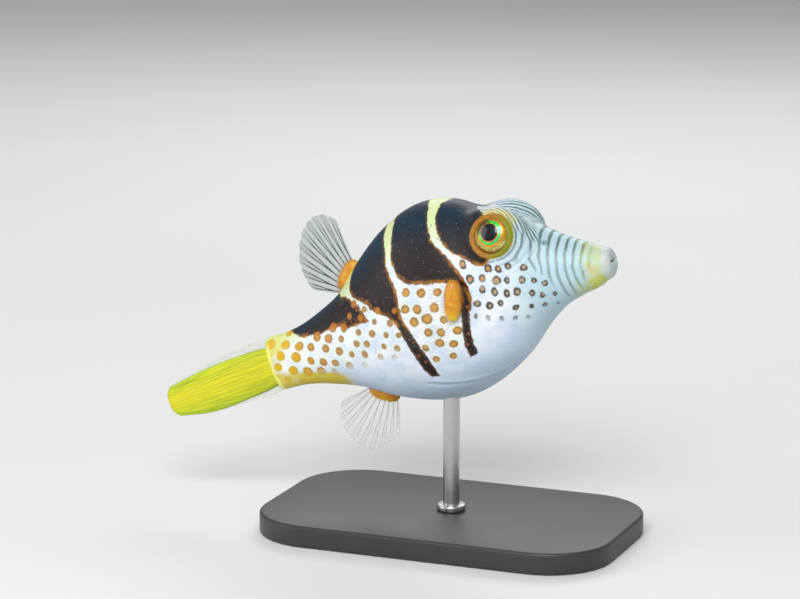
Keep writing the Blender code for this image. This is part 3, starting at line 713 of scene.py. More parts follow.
def skinValues(grid, lift):
    # what the skin's material reads at each point
    x, z = grid[..., 0], grid[..., 2]
    reach = np.hypot(grid[..., 1], z - smoothCurve(x, body["waist"]))
    dark = saddleDistance(grid, lift, reach)
    spotsIn, spotKind = spotValues(grid, dark)
    lineCount, browCount, browHigh, lineShow = lineValues(grid, lift)
    far, turn, height = eyePolar(grid)
    return {
        "saddle": dark, "spotIn": spotsIn, "spotKind": spotKind,
        "spotShow": ease(z - smoothCurve(x, spotsEnd), *spotRules["fadesOver"]),
        "lineCount": lineCount, "browCount": browCount, "browHigh": browHigh, "lineShow": lineShow,
        "yellow": yellowValues(x, lift, grid[..., 1], far, turn),
        "amber": bell(x - 65.3, 1.0) * bell(lift + 8, 22),
        "lips": ease(x, 66.8, 67.7), "mouth": ease(np.arange(len(grid)), 9, 2)[:, None] + 0 * x,
        "nostril": bell(nostrilDistance(grid), skin["nostril"]["tintReach"]),
        "lift": lift, "along": x,
        "eyeFar": np.where(height > -3.0, far, 20.0), "eyeFront": frontOfRing(turn),
    }


def makeSkin():
    obj, sphere = addSphere("puffer_skin", skin["around"], skin["along"])
    ring = np.round(np.arccos(np.clip(sphere[:, 2], -1, 1)) / math.pi * skin["along"]).astype(int)
    turn = np.arctan2(sphere[:, 1], sphere[:, 0]) % (2 * math.pi)
    spoke = np.round(turn / (2 * math.pi) * skin["around"]).astype(int) % skin["around"]
    angles = np.arange(skin["around"]) * 2 * math.pi / skin["around"]
    grid = skinRings(angles)
    shaped = grid + gridNormals(grid) * skinRelief(grid)[..., None]
    c, s = np.cos(angles)[None, :], np.sin(angles)[None, :]
    lift = np.degrees(np.arctan2(s, np.abs(c))) + 0 * grid[..., 0]

    points = np.zeros((len(sphere), 3))
    inner = (ring > 0) & (ring < skin["along"])
    points[inner] = shaped[ring[inner] - 1, spoke[inner]]
    points[ring == 0] = shaped[0].mean(axis=0) - np.array([0.6, 0, 0])
    points[ring == skin["along"]] = shaped[-1].mean(axis=0) - np.array([0.02, 0, 0])
    setPoints(obj, toWorld(points))
    row = np.clip(ring - 1, 0, len(grid) - 1)
    for name, value in skinValues(grid, lift).items():
        addValues(obj, name, value[row, spoke])
    around = (spoke / skin["around"] + 0.25) % 1.0
    unwrapUv(obj, around, 1 - ring / skin["along"])
    smoothed(obj)
    obj.data.materials.append(skinMaterial())
    return obj


skinPaint = palette(
    pale=(224, 229, 234), cloudy=(196, 210, 228), belly=(184, 206, 230), head=(164, 196, 204),
    cheekLine=(116, 138, 138), browLine=(58, 80, 62),
    stemYellow=(206, 184, 2), snoutYellow=(186, 190, 26), mouthAmber=(228, 176, 60), band=(200, 212, 132),
    flankRim=(158, 120, 50), stemRim=(196, 166, 40), cheekRim=(80, 70, 60), trunkRim=(150, 122, 92),
    flankSpot=(200, 142, 28), stemSpot=(208, 162, 10), cheekSpot=(164, 146, 118),
    trunkSpot=(172, 124, 86), upperSpot=(186, 122, 40), halo=(228, 230, 186),
    freckle=(100, 92, 62), topFringe=(56, 48, 30), barFringe=(66, 56, 54),
    rust=(92, 50, 10), brightRust=(166, 108, 8), black=(7, 4, 5), brown=(32, 18, 11), sheen=(0, 46, 68),
    paleDot=(178, 160, 140), rustFleck=(158, 84, 26), saddleSpot=(176, 108, 22),
    lipWarm=(204, 188, 166), lipCool=(172, 194, 196), mouth=(96, 62, 60), nostril=(62, 78, 82),
    stemEnd=(222, 222, 110),
)
# for each stretch of skin, the value that is read, where the stretch begins and where it is full
skinZones = {
    "belly": ("lift", -20.0, -75.0), "head": ("along", 47.0, 58.0), "brow": ("lift", 30.0, 66.0),
    "snout": ("along", 60.0, 63.0), "back": ("lift", 38.0, 72.0), "behindEyes": ("along", 46.5, 44.5),
    "byTail": ("along", 10.0, 2.0), "pastStem": ("along", 6.0, 20.0), "behindFin": ("along", 32.0, 31.0),
    "upperFlank": ("lift", 4.0, 22.0), "behindCheek": ("along", 53.5, 49.0),
    "roundSpots": ("spotIn", -0.75, -0.2), "offCheek": ("spotKind", 0.8, 0.4),
    "stemKind": ("spotKind", 0.2, 0.1),
    "offSaddles": ("saddle", -1.5, -0.6), "trunk": ("along", 48.0, 46.0), "aboveFin": ("lift", -4.0, 14.0),
    "underBack": ("lift", 52.0, 34.0), "overBars": ("lift", -6.0, 8.0), "sides": ("lift", 76.0, 52.0),
    "bars": ("lift", 4.0, -14.0), "topOfBack": ("lift", 50.0, 80.0), "saddleEdge": ("saddle", 2.2, 0.3),
    "flank": ("lift", 60.0, 35.0), "lowSaddle": ("lift", 60.0, 44.0), "offTop": ("lift", 80.0, 60.0),
}


def lineWave(nodes, count, sway, waver, low, high):
    turns = nodes.scaled(sway, waver, nodes.value(count))
    return nodes.step(nodes.wave(nodes.times(turns, 2 * math.pi)), low, high)


def paintGround(nodes, zone, cloud):
    ground = nodes.mix(nodes.step(cloud, 0.35, 0.68), skinPaint["pale"], skinPaint["cloudy"])
    # bluer and darker towards the belly: partly the skin's own blue, partly painted shade on the underside
    ground = nodes.tint(ground, zone["belly"], 0.75, skinPaint["belly"])
    return nodes.tint(ground, zone["head"], 0.85, skinPaint["head"])


def paintLines(nodes, zone, ground):
    # fine lines over brow and snout
    sway = nodes.centred(nodes.noise(420.0, 2.0, 0.5))
    line = lineWave(nodes, "lineCount", sway, 0.4, -0.1, 1.0)
    onBrow = lineWave(nodes, "browCount", sway, 0.7, -0.5, 0.6)
    line = nodes.scaled(nodes.math("SUBTRACT", onBrow, line), nodes.value("browHigh"), line)
    broken = nodes.step(nodes.noise(700.0, 2.0, 0.6), 0.2, 0.4)
    line = nodes.times(line, broken, nodes.value("lineShow"))
    tone = nodes.mix(zone["brow"], skinPaint["cheekLine"], skinPaint["browLine"])
    return nodes.tint(ground, line, 0.82, tone)


def yellowMask(nodes, zone, cloud):
    # uneven all over and blotched on the snout
    patched = nodes.scaled(nodes.step(cloud, 0.25, 0.6), 0.24, 0.72)
    blotch = nodes.step(nodes.noise(640.0, 3.0, 0.6), 0.62, 0.4)
    blotched = nodes.scaled(nodes.times(zone["snout"], blotch), -0.45, 1.0)
    return nodes.times(nodes.value("yellow"), patched, blotched)


def paintYellow(nodes, zone, ground, yellow):
    # yellow of stem, snout and chin, amber at the mouth, and the yellow-green bands over the back
    tone = nodes.mix(zone["snout"], skinPaint["stemYellow"], skinPaint["snoutYellow"])
    ground = nodes.mix(yellow, ground, tone)
    ground = nodes.tint(ground, nodes.value("amber"), 0.35, skinPaint["mouthAmber"])
    bands = nodes.times(zone["back"], zone["behindEyes"])
    return nodes.tint(ground, bands, 0.8, skinPaint["band"])


def paintSpots(nodes, zone, ground, spot, yellow):
    # ochre by the tail and dark ringed on the cheek
    kind, shown = nodes.value("spotKind"), nodes.value("spotShow")
    onTrunk = nodes.times(zone["pastStem"], zone["behindFin"])
    rim = nodes.mix(kind, nodes.mix(zone["byTail"], skinPaint["flankRim"], skinPaint["stemRim"]),
                    skinPaint["cheekRim"])
    rim = nodes.tint(rim, onTrunk, 0.6, skinPaint["trunkRim"])
    heart = nodes.mix(kind, nodes.mix(zone["byTail"], skinPaint["flankSpot"], skinPaint["stemSpot"]),
                      skinPaint["cheekSpot"])
    heart = nodes.tint(heart, onTrunk, 0.75, skinPaint["trunkSpot"])
    upper = nodes.times(zone["upperFlank"], zone["behindCheek"], kind)
    heart = nodes.tint(heart, upper, 0.7, skinPaint["upperSpot"])
    patchy = nodes.scaled(nodes.noise(900.0, 1.0, 0.5), 0.6, -0.1)
    core = nodes.step(nodes.math("SUBTRACT", nodes.value("spotIn"), patchy), 0.0, 0.2)
    halo = nodes.times(zone["roundSpots"], zone["offCheek"], nodes.math("SUBTRACT", shown, yellow))
    ground = nodes.tint(ground, halo, 0.32, skinPaint["halo"])
    return nodes.tint(ground, spot, shown, nodes.mix(core, rim, heart))


def paintFreckles(nodes, zone, ground):
    # small dark dots in the pale bands between the saddles
    dots = nodes.dots(1000.0, 0.26, 0.5)
    freckles = nodes.times(dots, zone["offSaddles"], zone["trunk"], zone["aboveFin"])
    return nodes.tint(ground, freckles, 0.6, skinPaint["freckle"])


def paintSaddles(nodes, zone, ground, spot):
    # dark brown with an orange-brown fringe, pale specks, rusty flecks and painted blue sheen on the back
    dark = nodes.value("saddle")
    fringe = nodes.ragged(dark, 0.12, 0.22, 1100.0, 0.14)
    rust = nodes.mix(nodes.step(nodes.noise(620.0, 3.0, 0.6), 0.35, 0.65), skinPaint["rust"],
                     skinPaint["brightRust"])
    edge = nodes.mix(zone["sides"], skinPaint["topFringe"], rust)
    edge = nodes.tint(edge, zone["bars"], 0.75, skinPaint["barFringe"])
    ground = nodes.mix(fringe, ground, edge)
    brown = nodes.mix(nodes.noise(500.0, 3.0, 0.6), skinPaint["black"], skinPaint["brown"])
    # painted sheen: a blue reflection laid into the saddles' colour along the top of the back
    sheen = nodes.times(zone["topOfBack"], nodes.noise(120.0, 2.0, 0.5))
    brown = nodes.tint(brown, sheen, 1.4, skinPaint["sheen"])
    brown = nodes.tint(brown, nodes.dots(1700.0, 0.19, 0.34), 0.35, skinPaint["paleDot"])
    flecks = nodes.times(nodes.dots(900.0, 0.3, 0.45), zone["saddleEdge"], zone["flank"])
    brown = nodes.tint(brown, flecks, 0.75, skinPaint["rustFleck"])
    wideFringe = nodes.times(zone["underBack"], zone["overBars"])
    deep = nodes.ragged(dark, nodes.scaled(wideFringe, -0.3, -0.16), 0.34, 900.0, 0.34)
    ground = nodes.mix(deep, ground, brown)
    onSaddle = nodes.times(spot, zone["stemKind"], zone["lowSaddle"], fringe)
    return nodes.tint(ground, onSaddle, 0.85, skinPaint["saddleSpot"]), deep


def paintFace(nodes, ground):
    ring = nodes.group(eyeRing, {"Far": nodes.value("eyeFar"), "Front": nodes.value("eyeFront")})
    ground = nodes.mix(ring["Mask"], ground, ring["Color"])
    lipTone = nodes.mix(nodes.step(nodes.noise(500.0, 2.0, 0.5), 0.2, 0.8), skinPaint["lipWarm"],
                        skinPaint["lipCool"])
    ground = nodes.tint(ground, nodes.value("lips"), 0.66, lipTone)
    ground = nodes.mix(nodes.value("mouth"), ground, skinPaint["mouth"])
    return nodes.tint(ground, nodes.value("nostril"), 0.75, skinPaint["nostril"])


def skinMaterial():
    # the markings are laid over the ground one after another
    material, nodes, shader = newMaterial("puffer skin")
    zone = {name: nodes.step(nodes.value(read), low, high) for name, (read, low, high) in skinZones.items()}
    cloud = nodes.noise(260.0, 3.0, 0.55)
    yellow = yellowMask(nodes, zone, cloud)
    rough = nodes.scaled(nodes.value("spotKind"), 0.12, 0.1)
    spot = nodes.ragged(nodes.value("spotIn"), 0.05, rough, 900.0, 0.16)
    ground = paintGround(nodes, zone, cloud)
    ground = paintLines(nodes, zone, ground)
    ground = paintYellow(nodes, zone, ground, yellow)
    ground = paintSpots(nodes, zone, ground, spot, yellow)
    ground = paintFreckles(nodes, zone, ground)
    ground, deep = paintSaddles(nodes, zone, ground, spot)
    ground = paintFace(nodes, ground)
    tailRim = nodes.step(nodes.scaled(cloud, 1.6, nodes.value("along")), 1.1, 0.8)
    ground = nodes.tint(ground, tailRim, zone["offTop"], skinPaint["stemEnd"])
    pebbles = nodes.add("ShaderNodeTexVoronoi", {"Vector": nodes.coords, "Scale": 2600.0,
                                                 "Smoothness": 0.6}, feature="SMOOTH_F1")
    rise = nodes.scaled(nodes.noise(900.0, 3.0, 0.6), 0.6, pebbles.outputs["Distance"])
    nodes.feed(shader, {"Base Color": ground, "Roughness": nodes.between(deep, 0.44, 0.5),
                        "Specular IOR Level": 0.32, "Coat Weight": 0.06, "Coat Roughness": 0.25,
                        "Normal": nodes.bump(0.28, 0.12, rise)})
    return material


skinPiece = makeSkin()
skinTree = BVHTree.FromObject(skinPiece, bpy.context.evaluated_depsgraph_get())
print("skin made:", len(skinPiece.data.polygons), "faces")


# Eyes: a domed ball with its iris, and the raised round fold of skin that frames it

iris = {"shift": (0.2, 0.6), "pupil": 1.52, "pupilShift": (-0.04, 0.06), "green": 2.14, "orange": 2.52,
        "dotted": 3.2}
lid = {"far": 3.42, "halfWidth": 0.46, "height": 0.24, "innerLift": 0.12, "sinks": 0.08, "thick": 0.75,
       "segments": 120, "sides": 28}
eyePaint = palette(
    green=(28, 150, 44), brightGreen=(70, 235, 90), teal=(40, 210, 150), orange=(196, 104, 10),
    gold=(232, 160, 40), olive=(158, 136, 44), paleOlive=(196, 190, 112), lowGold=(178, 128, 24),
    border=(128, 84, 14), shade=(74, 46, 14), pupilRim=(196, 92, 52), pupil=(4, 7, 10),
)


def roundEye(side, far, turn):
    # places in the plane of an eye's opening
    centre, _, above = eyeFrame(side)
    return (centre + np.multiply.outer(far * np.cos(turn), np.array([1.0, 0, 0]))
            + np.multiply.outer(far * np.sin(turn), above))


def skinHeight(side, far, turn):
    # the skin's height over the plane of an eye's opening
    looks, probe = eyeFrame(side)[1], 6.0
    start = toWorld(roundEye(side, far, turn) + looks * probe)
    hit, _, _, away = skinTree.ray_cast(Vector(start), Vector(placeTurn @ -looks))
    return probe - away / mm if hit is not None else 0.0


def makeEyeball(word, side):
    obj, sphere = addSphere("eye_" + word + "_ball", 96, 64)
    centre, looks, above = eyeFrame(side)
    sink = eye["depth"] * math.sqrt(1 - (eye["opening"] / eye["ball"]) ** 2)
    forward = np.array([1.0, 0, 0])
    points = (centre - looks * sink + sphere[:, [2]] * looks * eye["depth"]
              + side * sphere[:, [0]] * forward * eye["ball"] * -1 + sphere[:, [1]] * above * eye["ball"])
    setPoints(obj, toWorld(points))
    outwards(obj)
    plane = sphere[:, :2] * eye["ball"] * np.array([-side, 1.0]) - np.array(iris["shift"])
    offPupil = plane - np.array(iris["pupilShift"])
    behind = 4 * (sphere[:, 2] < 0)
    addValues(obj, "irisFar", np.hypot(plane[:, 0], plane[:, 1]) + behind)
    addValues(obj, "pupilFar", np.hypot(offPupil[:, 0], offPupil[:, 1]) + behind)
    addValues(obj, "irisTurn", np.arctan2(plane[:, 1], plane[:, 0]))
    unwrapSphere(obj, sphere)
    smoothed(obj)
    return obj


def irisSide(nodes, offset, low, high):
    # a mask over one side of the iris
    turned = nodes.math("ADD", nodes.value("irisTurn"), offset)
    return nodes.step(nodes.wave(turned), low, high)


def paintIris(nodes, fibre):
    # from green at the pupil through orange to a dotted olive rim, with a shade above
    grain = nodes.times(nodes.centred(nodes.noise(900.0, 3.0, 0.6)), 0.35)
    far = nodes.math("ADD", nodes.value("irisFar"), grain)
    green = nodes.mix(nodes.step(fibre, 0.3, 0.7), eyePaint["green"], eyePaint["brightGreen"])
    green = nodes.tint(green, irisSide(nodes, 2.2, 0.2, 0.95), 0.4, eyePaint["teal"])
    orange = nodes.mix(fibre, eyePaint["orange"], eyePaint["gold"])
    dotted = nodes.mix(nodes.step(fibre, 0.4, 0.6), eyePaint["olive"], eyePaint["paleOlive"])
    dotted = nodes.mix(irisSide(nodes, 0.5, 0.1, -0.4), eyePaint["lowGold"], dotted)
    base = green
    rings = (("green", -0.1, 0.12, orange), ("orange", -0.08, 0.1, dotted),
             ("dotted", -0.05, 0.15, eyePaint["border"]))
    for end, low, high, beyond in rings:
        base = nodes.mix(nodes.step(far, iris[end] + low, iris[end] + high), base, beyond)
    shade = nodes.times(irisSide(nodes, -0.7, 0.45, 0.95), nodes.step(far, 2.75, 2.35))
    return nodes.tint(base, shade, 0.9, eyePaint["shade"])


def eyeMaterial():
    material, nodes, shader = newMaterial("eye")
    near = nodes.value("pupilFar")
    fibre = nodes.noise(2600.0, 3.0, 0.7)
    base = paintIris(nodes, fibre)
    rimWidth = nodes.scaled(irisSide(nodes, 0.0, 0.1, -0.5), 0.12, iris["pupil"] + 0.08)
    rim = nodes.step(nodes.math("SUBTRACT", near, rimWidth), 0.05, -0.05)
    base = nodes.mix(rim, base, eyePaint["pupilRim"])
    black = nodes.step(near, iris["pupil"] + 0.04, iris["pupil"] - 0.04)
    base = nodes.mix(black, base, eyePaint["pupil"])
    shine = nodes.times(nodes.step(near, iris["pupil"], iris["pupil"] + 0.2), 0.45)
    nodes.feed(shader, {"Base Color": base, "Metallic": shine, "Roughness": 0.3, "Coat Weight": 1.0,
                        "Coat Roughness": 0.015, "Coat IOR": 1.38, "Specular IOR Level": 0.2,
                        "Normal": nodes.bump(0.35, 0.15, fibre)})
    return material


def makeLid(word, side):
    # a ring whose outer edge follows the skin and whose inner edge lies on the ball
    ringRadius, tubeRadius = 2.0, 0.5
    deselectAll()
    bpy.ops.mesh.primitive_torus_add(major_segments=lid["segments"], minor_segments=lid["sides"],
                                     major_radius=ringRadius, minor_radius=tubeRadius)
    obj = namedMesh("lid_" + word)
    ring = getPoints(obj)
    turn = np.arctan2(ring[:, 1], ring[:, 0])
    out = (np.hypot(ring[:, 0], ring[:, 1]) - ringRadius) / tubeRadius
    rise = ring[:, 2] / tubeRadius
    outer = lid["far"] + lid["halfWidth"]
    turns, slot = np.unique(np.round(turn, 4), return_inverse=True)
    edge = np.array([skinHeight(side, outer + 0.1, t) for t in turns])[slot]
    share = np.clip((out + 1) / 2, 0, 1)
    floor = lid["innerLift"] * (1 - share) + (edge - lid["sinks"]) * share**1.5
    crest = lid["height"] * np.maximum(rise, 0) ** 1.5 + lid["thick"] * np.minimum(rise, 0)
    far = lid["far"] + out * lid["halfWidth"]
    looks = eyeFrame(side)[1]
    setPoints(obj, toWorld(roundEye(side, far, turn) + np.multiply.outer(floor + crest, looks)))
    outwards(obj)
    addValues(obj, "eyeFar", far - 0.1 * rise)
    addValues(obj, "eyeFront", frontOfRing(turn))
    unwrapUv(obj, (turn / (2 * math.pi)) % 1.0, (np.arctan2(rise, out) / (2 * math.pi)) % 1.0)
    smoothed(obj)
    return obj


def lidMaterial():
    material, nodes, shader = newMaterial("eye fold")
    ring = nodes.group(eyeRing, {"Far": nodes.value("eyeFar"), "Front": nodes.value("eyeFront")})
    grain = nodes.noise(1500.0, 3.0, 0.6)
    nodes.feed(shader, {"Base Color": ring["Color"], "Roughness": 0.55, "Specular IOR Level": 0.35,
                        "Normal": nodes.bump(0.4, 0.12, grain)})
    return material


eyePieces, lidPieces = {}, {}
ballFinish, foldFinish = eyeMaterial(), lidMaterial()
for word, side in (("right", -1.0), ("left", 1.0)):
    eyePieces[word] = makeEyeball(word, side)
    eyePieces[word].data.materials.append(ballFinish)
    lidPieces[word] = makeLid(word, side)
    lidPieces[word].data.materials.append(foldFinish)
print("eyes made")

# Fins: a thin web with branching rays raised in its own surface

dorsalFin = {
    "rays": 9, "front": (21.2, 0.0, 13.0), "rear": (16.5, 0.0, 8.8), "rootDepth": 1.6,
    "turn": [(0, 99), (0.5, 120), (1, 160)],
    "length": [(0, 8.6), (0.15, 11.2), (0.35, 12.4), (0.55, 11.8), (0.78, 9.4), (1, 5.6)],
    "sway": 1.3, "columns": 220, "rows": 64, "web": 0.09, "ray": 0.28, "width": 0.11,
}
analFin = {
    "rays": 9, "front": (21.2, 0.0, -11.4), "rear": (16.4, 0.0, -8.7), "rootDepth": 1.6,
    "turn": [(0, -102), (0.5, -131), (1, -170)],
    "length": [(0, 6.6), (0.15, 8.6), (0.35, 10.8), (0.55, 11.0), (0.78, 9.4), (1, 6.0)],
    "sway": -1.1, "columns": 220, "rows": 64, "web": 0.09, "ray": 0.26, "width": 0.11,
}
pectoralFin = {
    "rays": 16, "top": (42.6, 11.6, 5.0), "bottom": (40.9, 11.4, -0.4), "rootDepth": 1.2,
    "spread": [(0, 44), (0.5, 2), (1, -40)],
    "length": [(0, 6.4), (0.25, 8.4), (0.5, 9.2), (0.75, 8.6), (1, 6.6)],
    "outward": 36.0, "curl": 1.0, "columns": 256, "rows": 48, "web": 0.07, "ray": 0.2, "width": 0.10,
}
tailFin = {
    "rays": 11, "length": 23.9, "start": 0.9,
    "upper": [(0, 4.6), (0.1, 4.8), (0.36, 4.35), (0.63, 3.4), (0.85, 2.3), (1, 1.5)],
    "lower": [(0, -4.8), (0.1, -5.3), (0.43, -5.5), (0.76, -5.4), (1, -4.5)],
    "clearTop": [(0, 0.16), (0.3, 0.12), (0.6, 0.08), (1, 0.03)],
    "clearBottom": [(0, 0.13), (0.25, 0.08), (0.5, 0.02), (1, 0.0)],
    "rootHalf": 1.35, "tipHalf": 0.2, "web": 0.08, "corner": 1.5, "trim": 0.15, "narrowRoot": 0.45,
    "columns": 280, "rows": 110, "ray": 0.09, "width": 0.1,
}
# the waves of a fan's edge, its waver, and how much it widens and its rays and edge thin outwards
fanForm = {"scallop": 0.07, "fray": 0.06, "waver": 0.12, "widens": 1.2, "raysThin": 0.55, "edgeShare": 0.25}
# how far the branches of a ray lie from its middle, and where along the fin they part
branches = {"first": 0.19, "firstParts": (0.28, 0.75), "second": 0.085, "secondParts": (0.55, 1.0)}
lobes = {
    "dorsal_root": {"at": (19.4, 0.0, 11.6), "half": (3.0, 1.2, 1.5), "turn": -42.0},
    "anal_root": {"at": (18.8, 0.0, -10.4), "half": (2.9, 1.15, 1.6), "turn": 30.0},
    "pectoral_root_right": {"at": (42.1, -11.4, 3.0), "half": (1.5, 1.4, 3.6), "turn": 20.0},
    "pectoral_root_left": {"at": (42.1, 11.4, 3.0), "half": (1.5, 1.4, 3.6), "turn": 20.0},
}


def addSlab(name, columns, rows):
    # a closed sheet whose first half of points is one face of it, and each of these points' share
    # of the way across and out
    deselectAll()
    bpy.ops.mesh.primitive_grid_add(x_subdivisions=columns, y_subdivisions=rows, size=2.0)
    obj = namedMesh(name)
    flat = getPoints(obj)
    bpy.ops.object.modifier_add(type="SOLIDIFY")
    sheet = obj.modifiers[0]
    sheet.thickness, sheet.offset = 1.0, 0.0
    bpy.ops.object.modifier_apply(modifier=sheet.name)
    return obj, (flat[:, 0] + 1) / 2, (flat[:, 1] + 1) / 2


def rayMask(across, out, rays, spacing, width):
    # each ray is single at its root and parts twice on its way out
    place = across * rays
    offset = place - np.floor(np.clip(place, 0, rays - 1e-6)) - 0.5
    first = branches["first"] * ease(out, *branches["firstParts"])
    second = branches["second"] * ease(out, *branches["secondParts"])
    mask = np.zeros_like(across)
    for a in (-1, 1):
        for b in (-1, 1):
            away = (offset - a * first - b * second) * spacing
            mask = np.maximum(mask, bell(away, width * (1.15 - 0.6 * out)))
    return mask


def finishSlab(obj, across, out, middle, normal, thickness, values):
    half = thickness[:, None] / 2 * normal
    points = np.concatenate([middle + half, middle - half])
    setPoints(obj, toWorld(points))
    outwards(obj)
    for name, value in values.items():
        addValues(obj, name, np.concatenate([value, value]))
    both = np.concatenate([across * 0.49, 0.51 + across * 0.49])
    unwrapUv(obj, both, np.concatenate([out, out]), closedRound=False)
    smoothed(obj)
    return obj


def sheetNormals(points, columns, rows):
    grid = points.reshape(rows + 1, columns + 1, 3)
    normal = np.cross(np.gradient(grid, axis=1), np.gradient(grid, axis=0))
    normal /= np.maximum(np.linalg.norm(normal, axis=-1, keepdims=True), 1e-9)
    return normal.reshape(-1, 3)


def fanLines(fin, side, across):
    # for each point the direction of its ray, the two ends of the fin's root and how far the fin bends
    if side:
        spread = np.radians(smoothCurve(across, fin["spread"]))
        outward = math.radians(fin["outward"])
        heading = [-np.cos(spread) * math.cos(outward), np.cos(spread) * math.sin(outward), np.sin(spread)]
        return np.stack(heading, axis=-1), np.array(fin["top"]), np.array(fin["bottom"]), fin["curl"]
    turn = np.radians(smoothCurve(across, fin["turn"]))
    heading = np.stack([np.cos(turn), 0 * turn, np.sin(turn)], axis=-1)
    return heading, np.array(fin["front"]), np.array(fin["rear"]), fin["sway"]


def makeFan(name, fin, side=0):
    # side is -1 or 1 for a fin of a pair, and 0 for one on the middle line
    obj, across, out = addSlab(name, fin["columns"], fin["rows"])
    heading, first, last, bend = fanLines(fin, side, across)
    root = first + across[:, None] * (last - first)
    root = root - heading * fin["rootDepth"]
    scallops = fanForm["scallop"] * np.cos(across * fin["rays"] * 2 * math.pi)
    fray = fanForm["fray"] * np.cos(across * fin["rays"] * 8 * math.pi)
    length = smoothCurve(across, fin["length"]) - scallops - fray + fin["rootDepth"]
    middle = root + heading * (length * out)[:, None]
    middle[:, 1] += bend * out**2 + fanForm["waver"] * np.sin(across * 9 + 1.0) * out
    if side:
        middle[:, 1] *= side
    normal = sheetNormals(middle, fin["columns"], fin["rows"])
    fanWidth = np.linalg.norm(last - first) + out * fanForm["widens"] * length
    mask = rayMask(across, out, fin["rays"], fanWidth / fin["rays"], fin["width"])
    edgeIn = np.minimum(ease(across, 0, 0.015), ease(across, 1, 0.985)) * ease(out, 1.0, 0.98)
    thickness = fin["web"] + fin["ray"] * mask * (1 - fanForm["raysThin"] * out)
    thickness *= fanForm["edgeShare"] + (1 - fanForm["edgeShare"]) * edgeIn
    return finishSlab(obj, across, out, middle, normal, thickness,
                      {"ray": mask, "out": out, "across": across})


def makeTailFin():
    # a fleshy fan of crowded rays, with a thin clear border along its top and bottom
    fin = tailFin
    obj, across, out = addSlab("tail_fin_rays", fin["columns"], fin["rows"])
    upper, lower = smoothCurve(out, fin["upper"]), smoothCurve(out, fin["lower"])
    corner = fin["corner"] * np.abs(2 * across - 1) ** 3
    rayTurn = across * fin["rays"] * 2 * math.pi
    ragged = 0.22 * np.cos(rayTurn) + 0.1 * np.cos(rayTurn * 4)
    reach = fin["length"] + fin["start"] - corner - fin["trim"] + 0.35 * ragged
    middle = np.zeros((len(across), 3))
    middle[:, 0] = fin["start"] - out * reach
    narrow = 1 - fin["narrowRoot"] * ease(out, 0.06, 0.0)
    middle[:, 2] = (upper + across * (lower - upper)) * narrow
    half = fin["rootHalf"] + (fin["tipHalf"] - fin["rootHalf"]) * np.sqrt(out)
    uneven = 0.012 * np.sin(across * 23.0) + 0.006 * np.sin(across * 61.0 + out * 3)
    crowded = np.clip(0.5 + (across - 0.5) * 1.22 + uneven, 0, 1)
    top, bottom = smoothCurve(out, fin["clearTop"]), 1 - smoothCurve(out, fin["clearBottom"])
    core = ease(across, top - 0.02, top + 0.05) * ease(across, bottom + 0.02, bottom - 0.05)
    inCore = np.clip((across - top) / (bottom - top), 0, 1)
    rounded = np.sqrt(np.clip(1 - (2 * inCore - 1) ** 2, 0.0, 1)) * core
    mask = rayMask(crowded, out, fin["rays"], (upper - lower) / fin["rays"], fin["width"]) * core
    ridge = fin["ray"] * mask * (0.75 + 0.35 * np.sin(across * 37.0 + 1.0)) * (1 - 0.45 * out)
    thickness = (2 * half * rounded + fin["web"] + ridge) * (0.3 + 0.7 * ease(out, 1.0, 0.975))
    normal = np.tile(np.array([0.0, 1.0, 0.0]), (len(across), 1))
    return finishSlab(obj, across, out, middle, normal, thickness,
                      {"ray": mask, "out": out, "across": across, "core": core})


def makeLobe(name, lobe):
    # a fleshy bean at a fin's root, faintly ridged
    obj, sphere = addSphere(name, 64, 40)
    ridges = 1 + 0.02 * np.cos(np.arctan2(sphere[:, 0], sphere[:, 2]) * 14)
    full = 1 + 0.2 * np.abs(sphere[:, 0] * sphere[:, 2])
    shaped = sphere * (ridges * full)[:, None] * np.array(lobe["half"])
    turned = shaped @ np.array(Matrix.Rotation(math.radians(lobe["turn"]), 3, "Y")).T
    setPoints(obj, toWorld(turned + np.array(lobe["at"])))
    addValues(obj, "upper", sphere[:, 2])
    addValues(obj, "border", 1 - np.abs(sphere[:, 1]))
    unwrapSphere(obj, sphere)
    smoothed(obj)
    return obj


finPaint = palette(
    orange=(206, 140, 18), webDots=(190, 200, 190), dorsalRay=(22, 32, 38), dorsalWeb=(92, 124, 118),
    analRay=(176, 178, 170), analWeb=(196, 202, 198), pectoralRay=(136, 112, 72),
    pectoralWeb=(222, 226, 226), tailGreen=(138, 160, 4), tailYellow=(212, 212, 4),
    tailMiddle=(226, 206, 2), tailGroove=(112, 136, 6), tailStreak=(84, 96, 4), tailEdge=(140, 178, 8),
    tailHair=(96, 108, 2), tailClear=(196, 204, 190), lobe=(196, 124, 4), lobeBright=(220, 158, 12),
    lobeTop=(158, 92, 4), lobeBorder=(170, 108, 6), lobeFoot=(224, 190, 40),
)


def webMaterial(name, rayTone, webTone, webAlpha, rayAlpha):
    # clear web, plainer rays and an orange root
    material, nodes, shader = newMaterial(name)
    ray, out = nodes.value("ray"), nodes.value("out")
    line = nodes.step(ray, 0.25, 0.8)
    root = nodes.step(out, 0.34, 0.14)
    base = nodes.tint(nodes.mix(line, webTone, rayTone), root, 0.8, finPaint["orange"])
    haze = nodes.times(nodes.dots(1500.0, 0.2, 0.3), nodes.step(out, 0.45, 0.95))
    base = nodes.tint(base, haze, 0.6, finPaint["webDots"])
    fading = nodes.scaled(nodes.step(out, 0.45, 1.0), -0.5, 1.0)
    seen = nodes.scaled(nodes.times(line, fading), rayAlpha - webAlpha, webAlpha)
    seen = nodes.scaled(root, 0.45, seen)
    seen = nodes.math("MINIMUM", nodes.scaled(haze, 0.2, seen), 1.0)
    joints = nodes.times(nodes.wave(nodes.times(out, 190.0)), line)
    rise = nodes.scaled(joints, 0.4, nodes.noise(1800.0, 2.0, 0.5))
    nodes.feed(shader, {"Base Color": base, "Alpha": seen, "Roughness": 0.32,
                        "Normal": nodes.bump(0.3, 0.1, rise)})
    return material


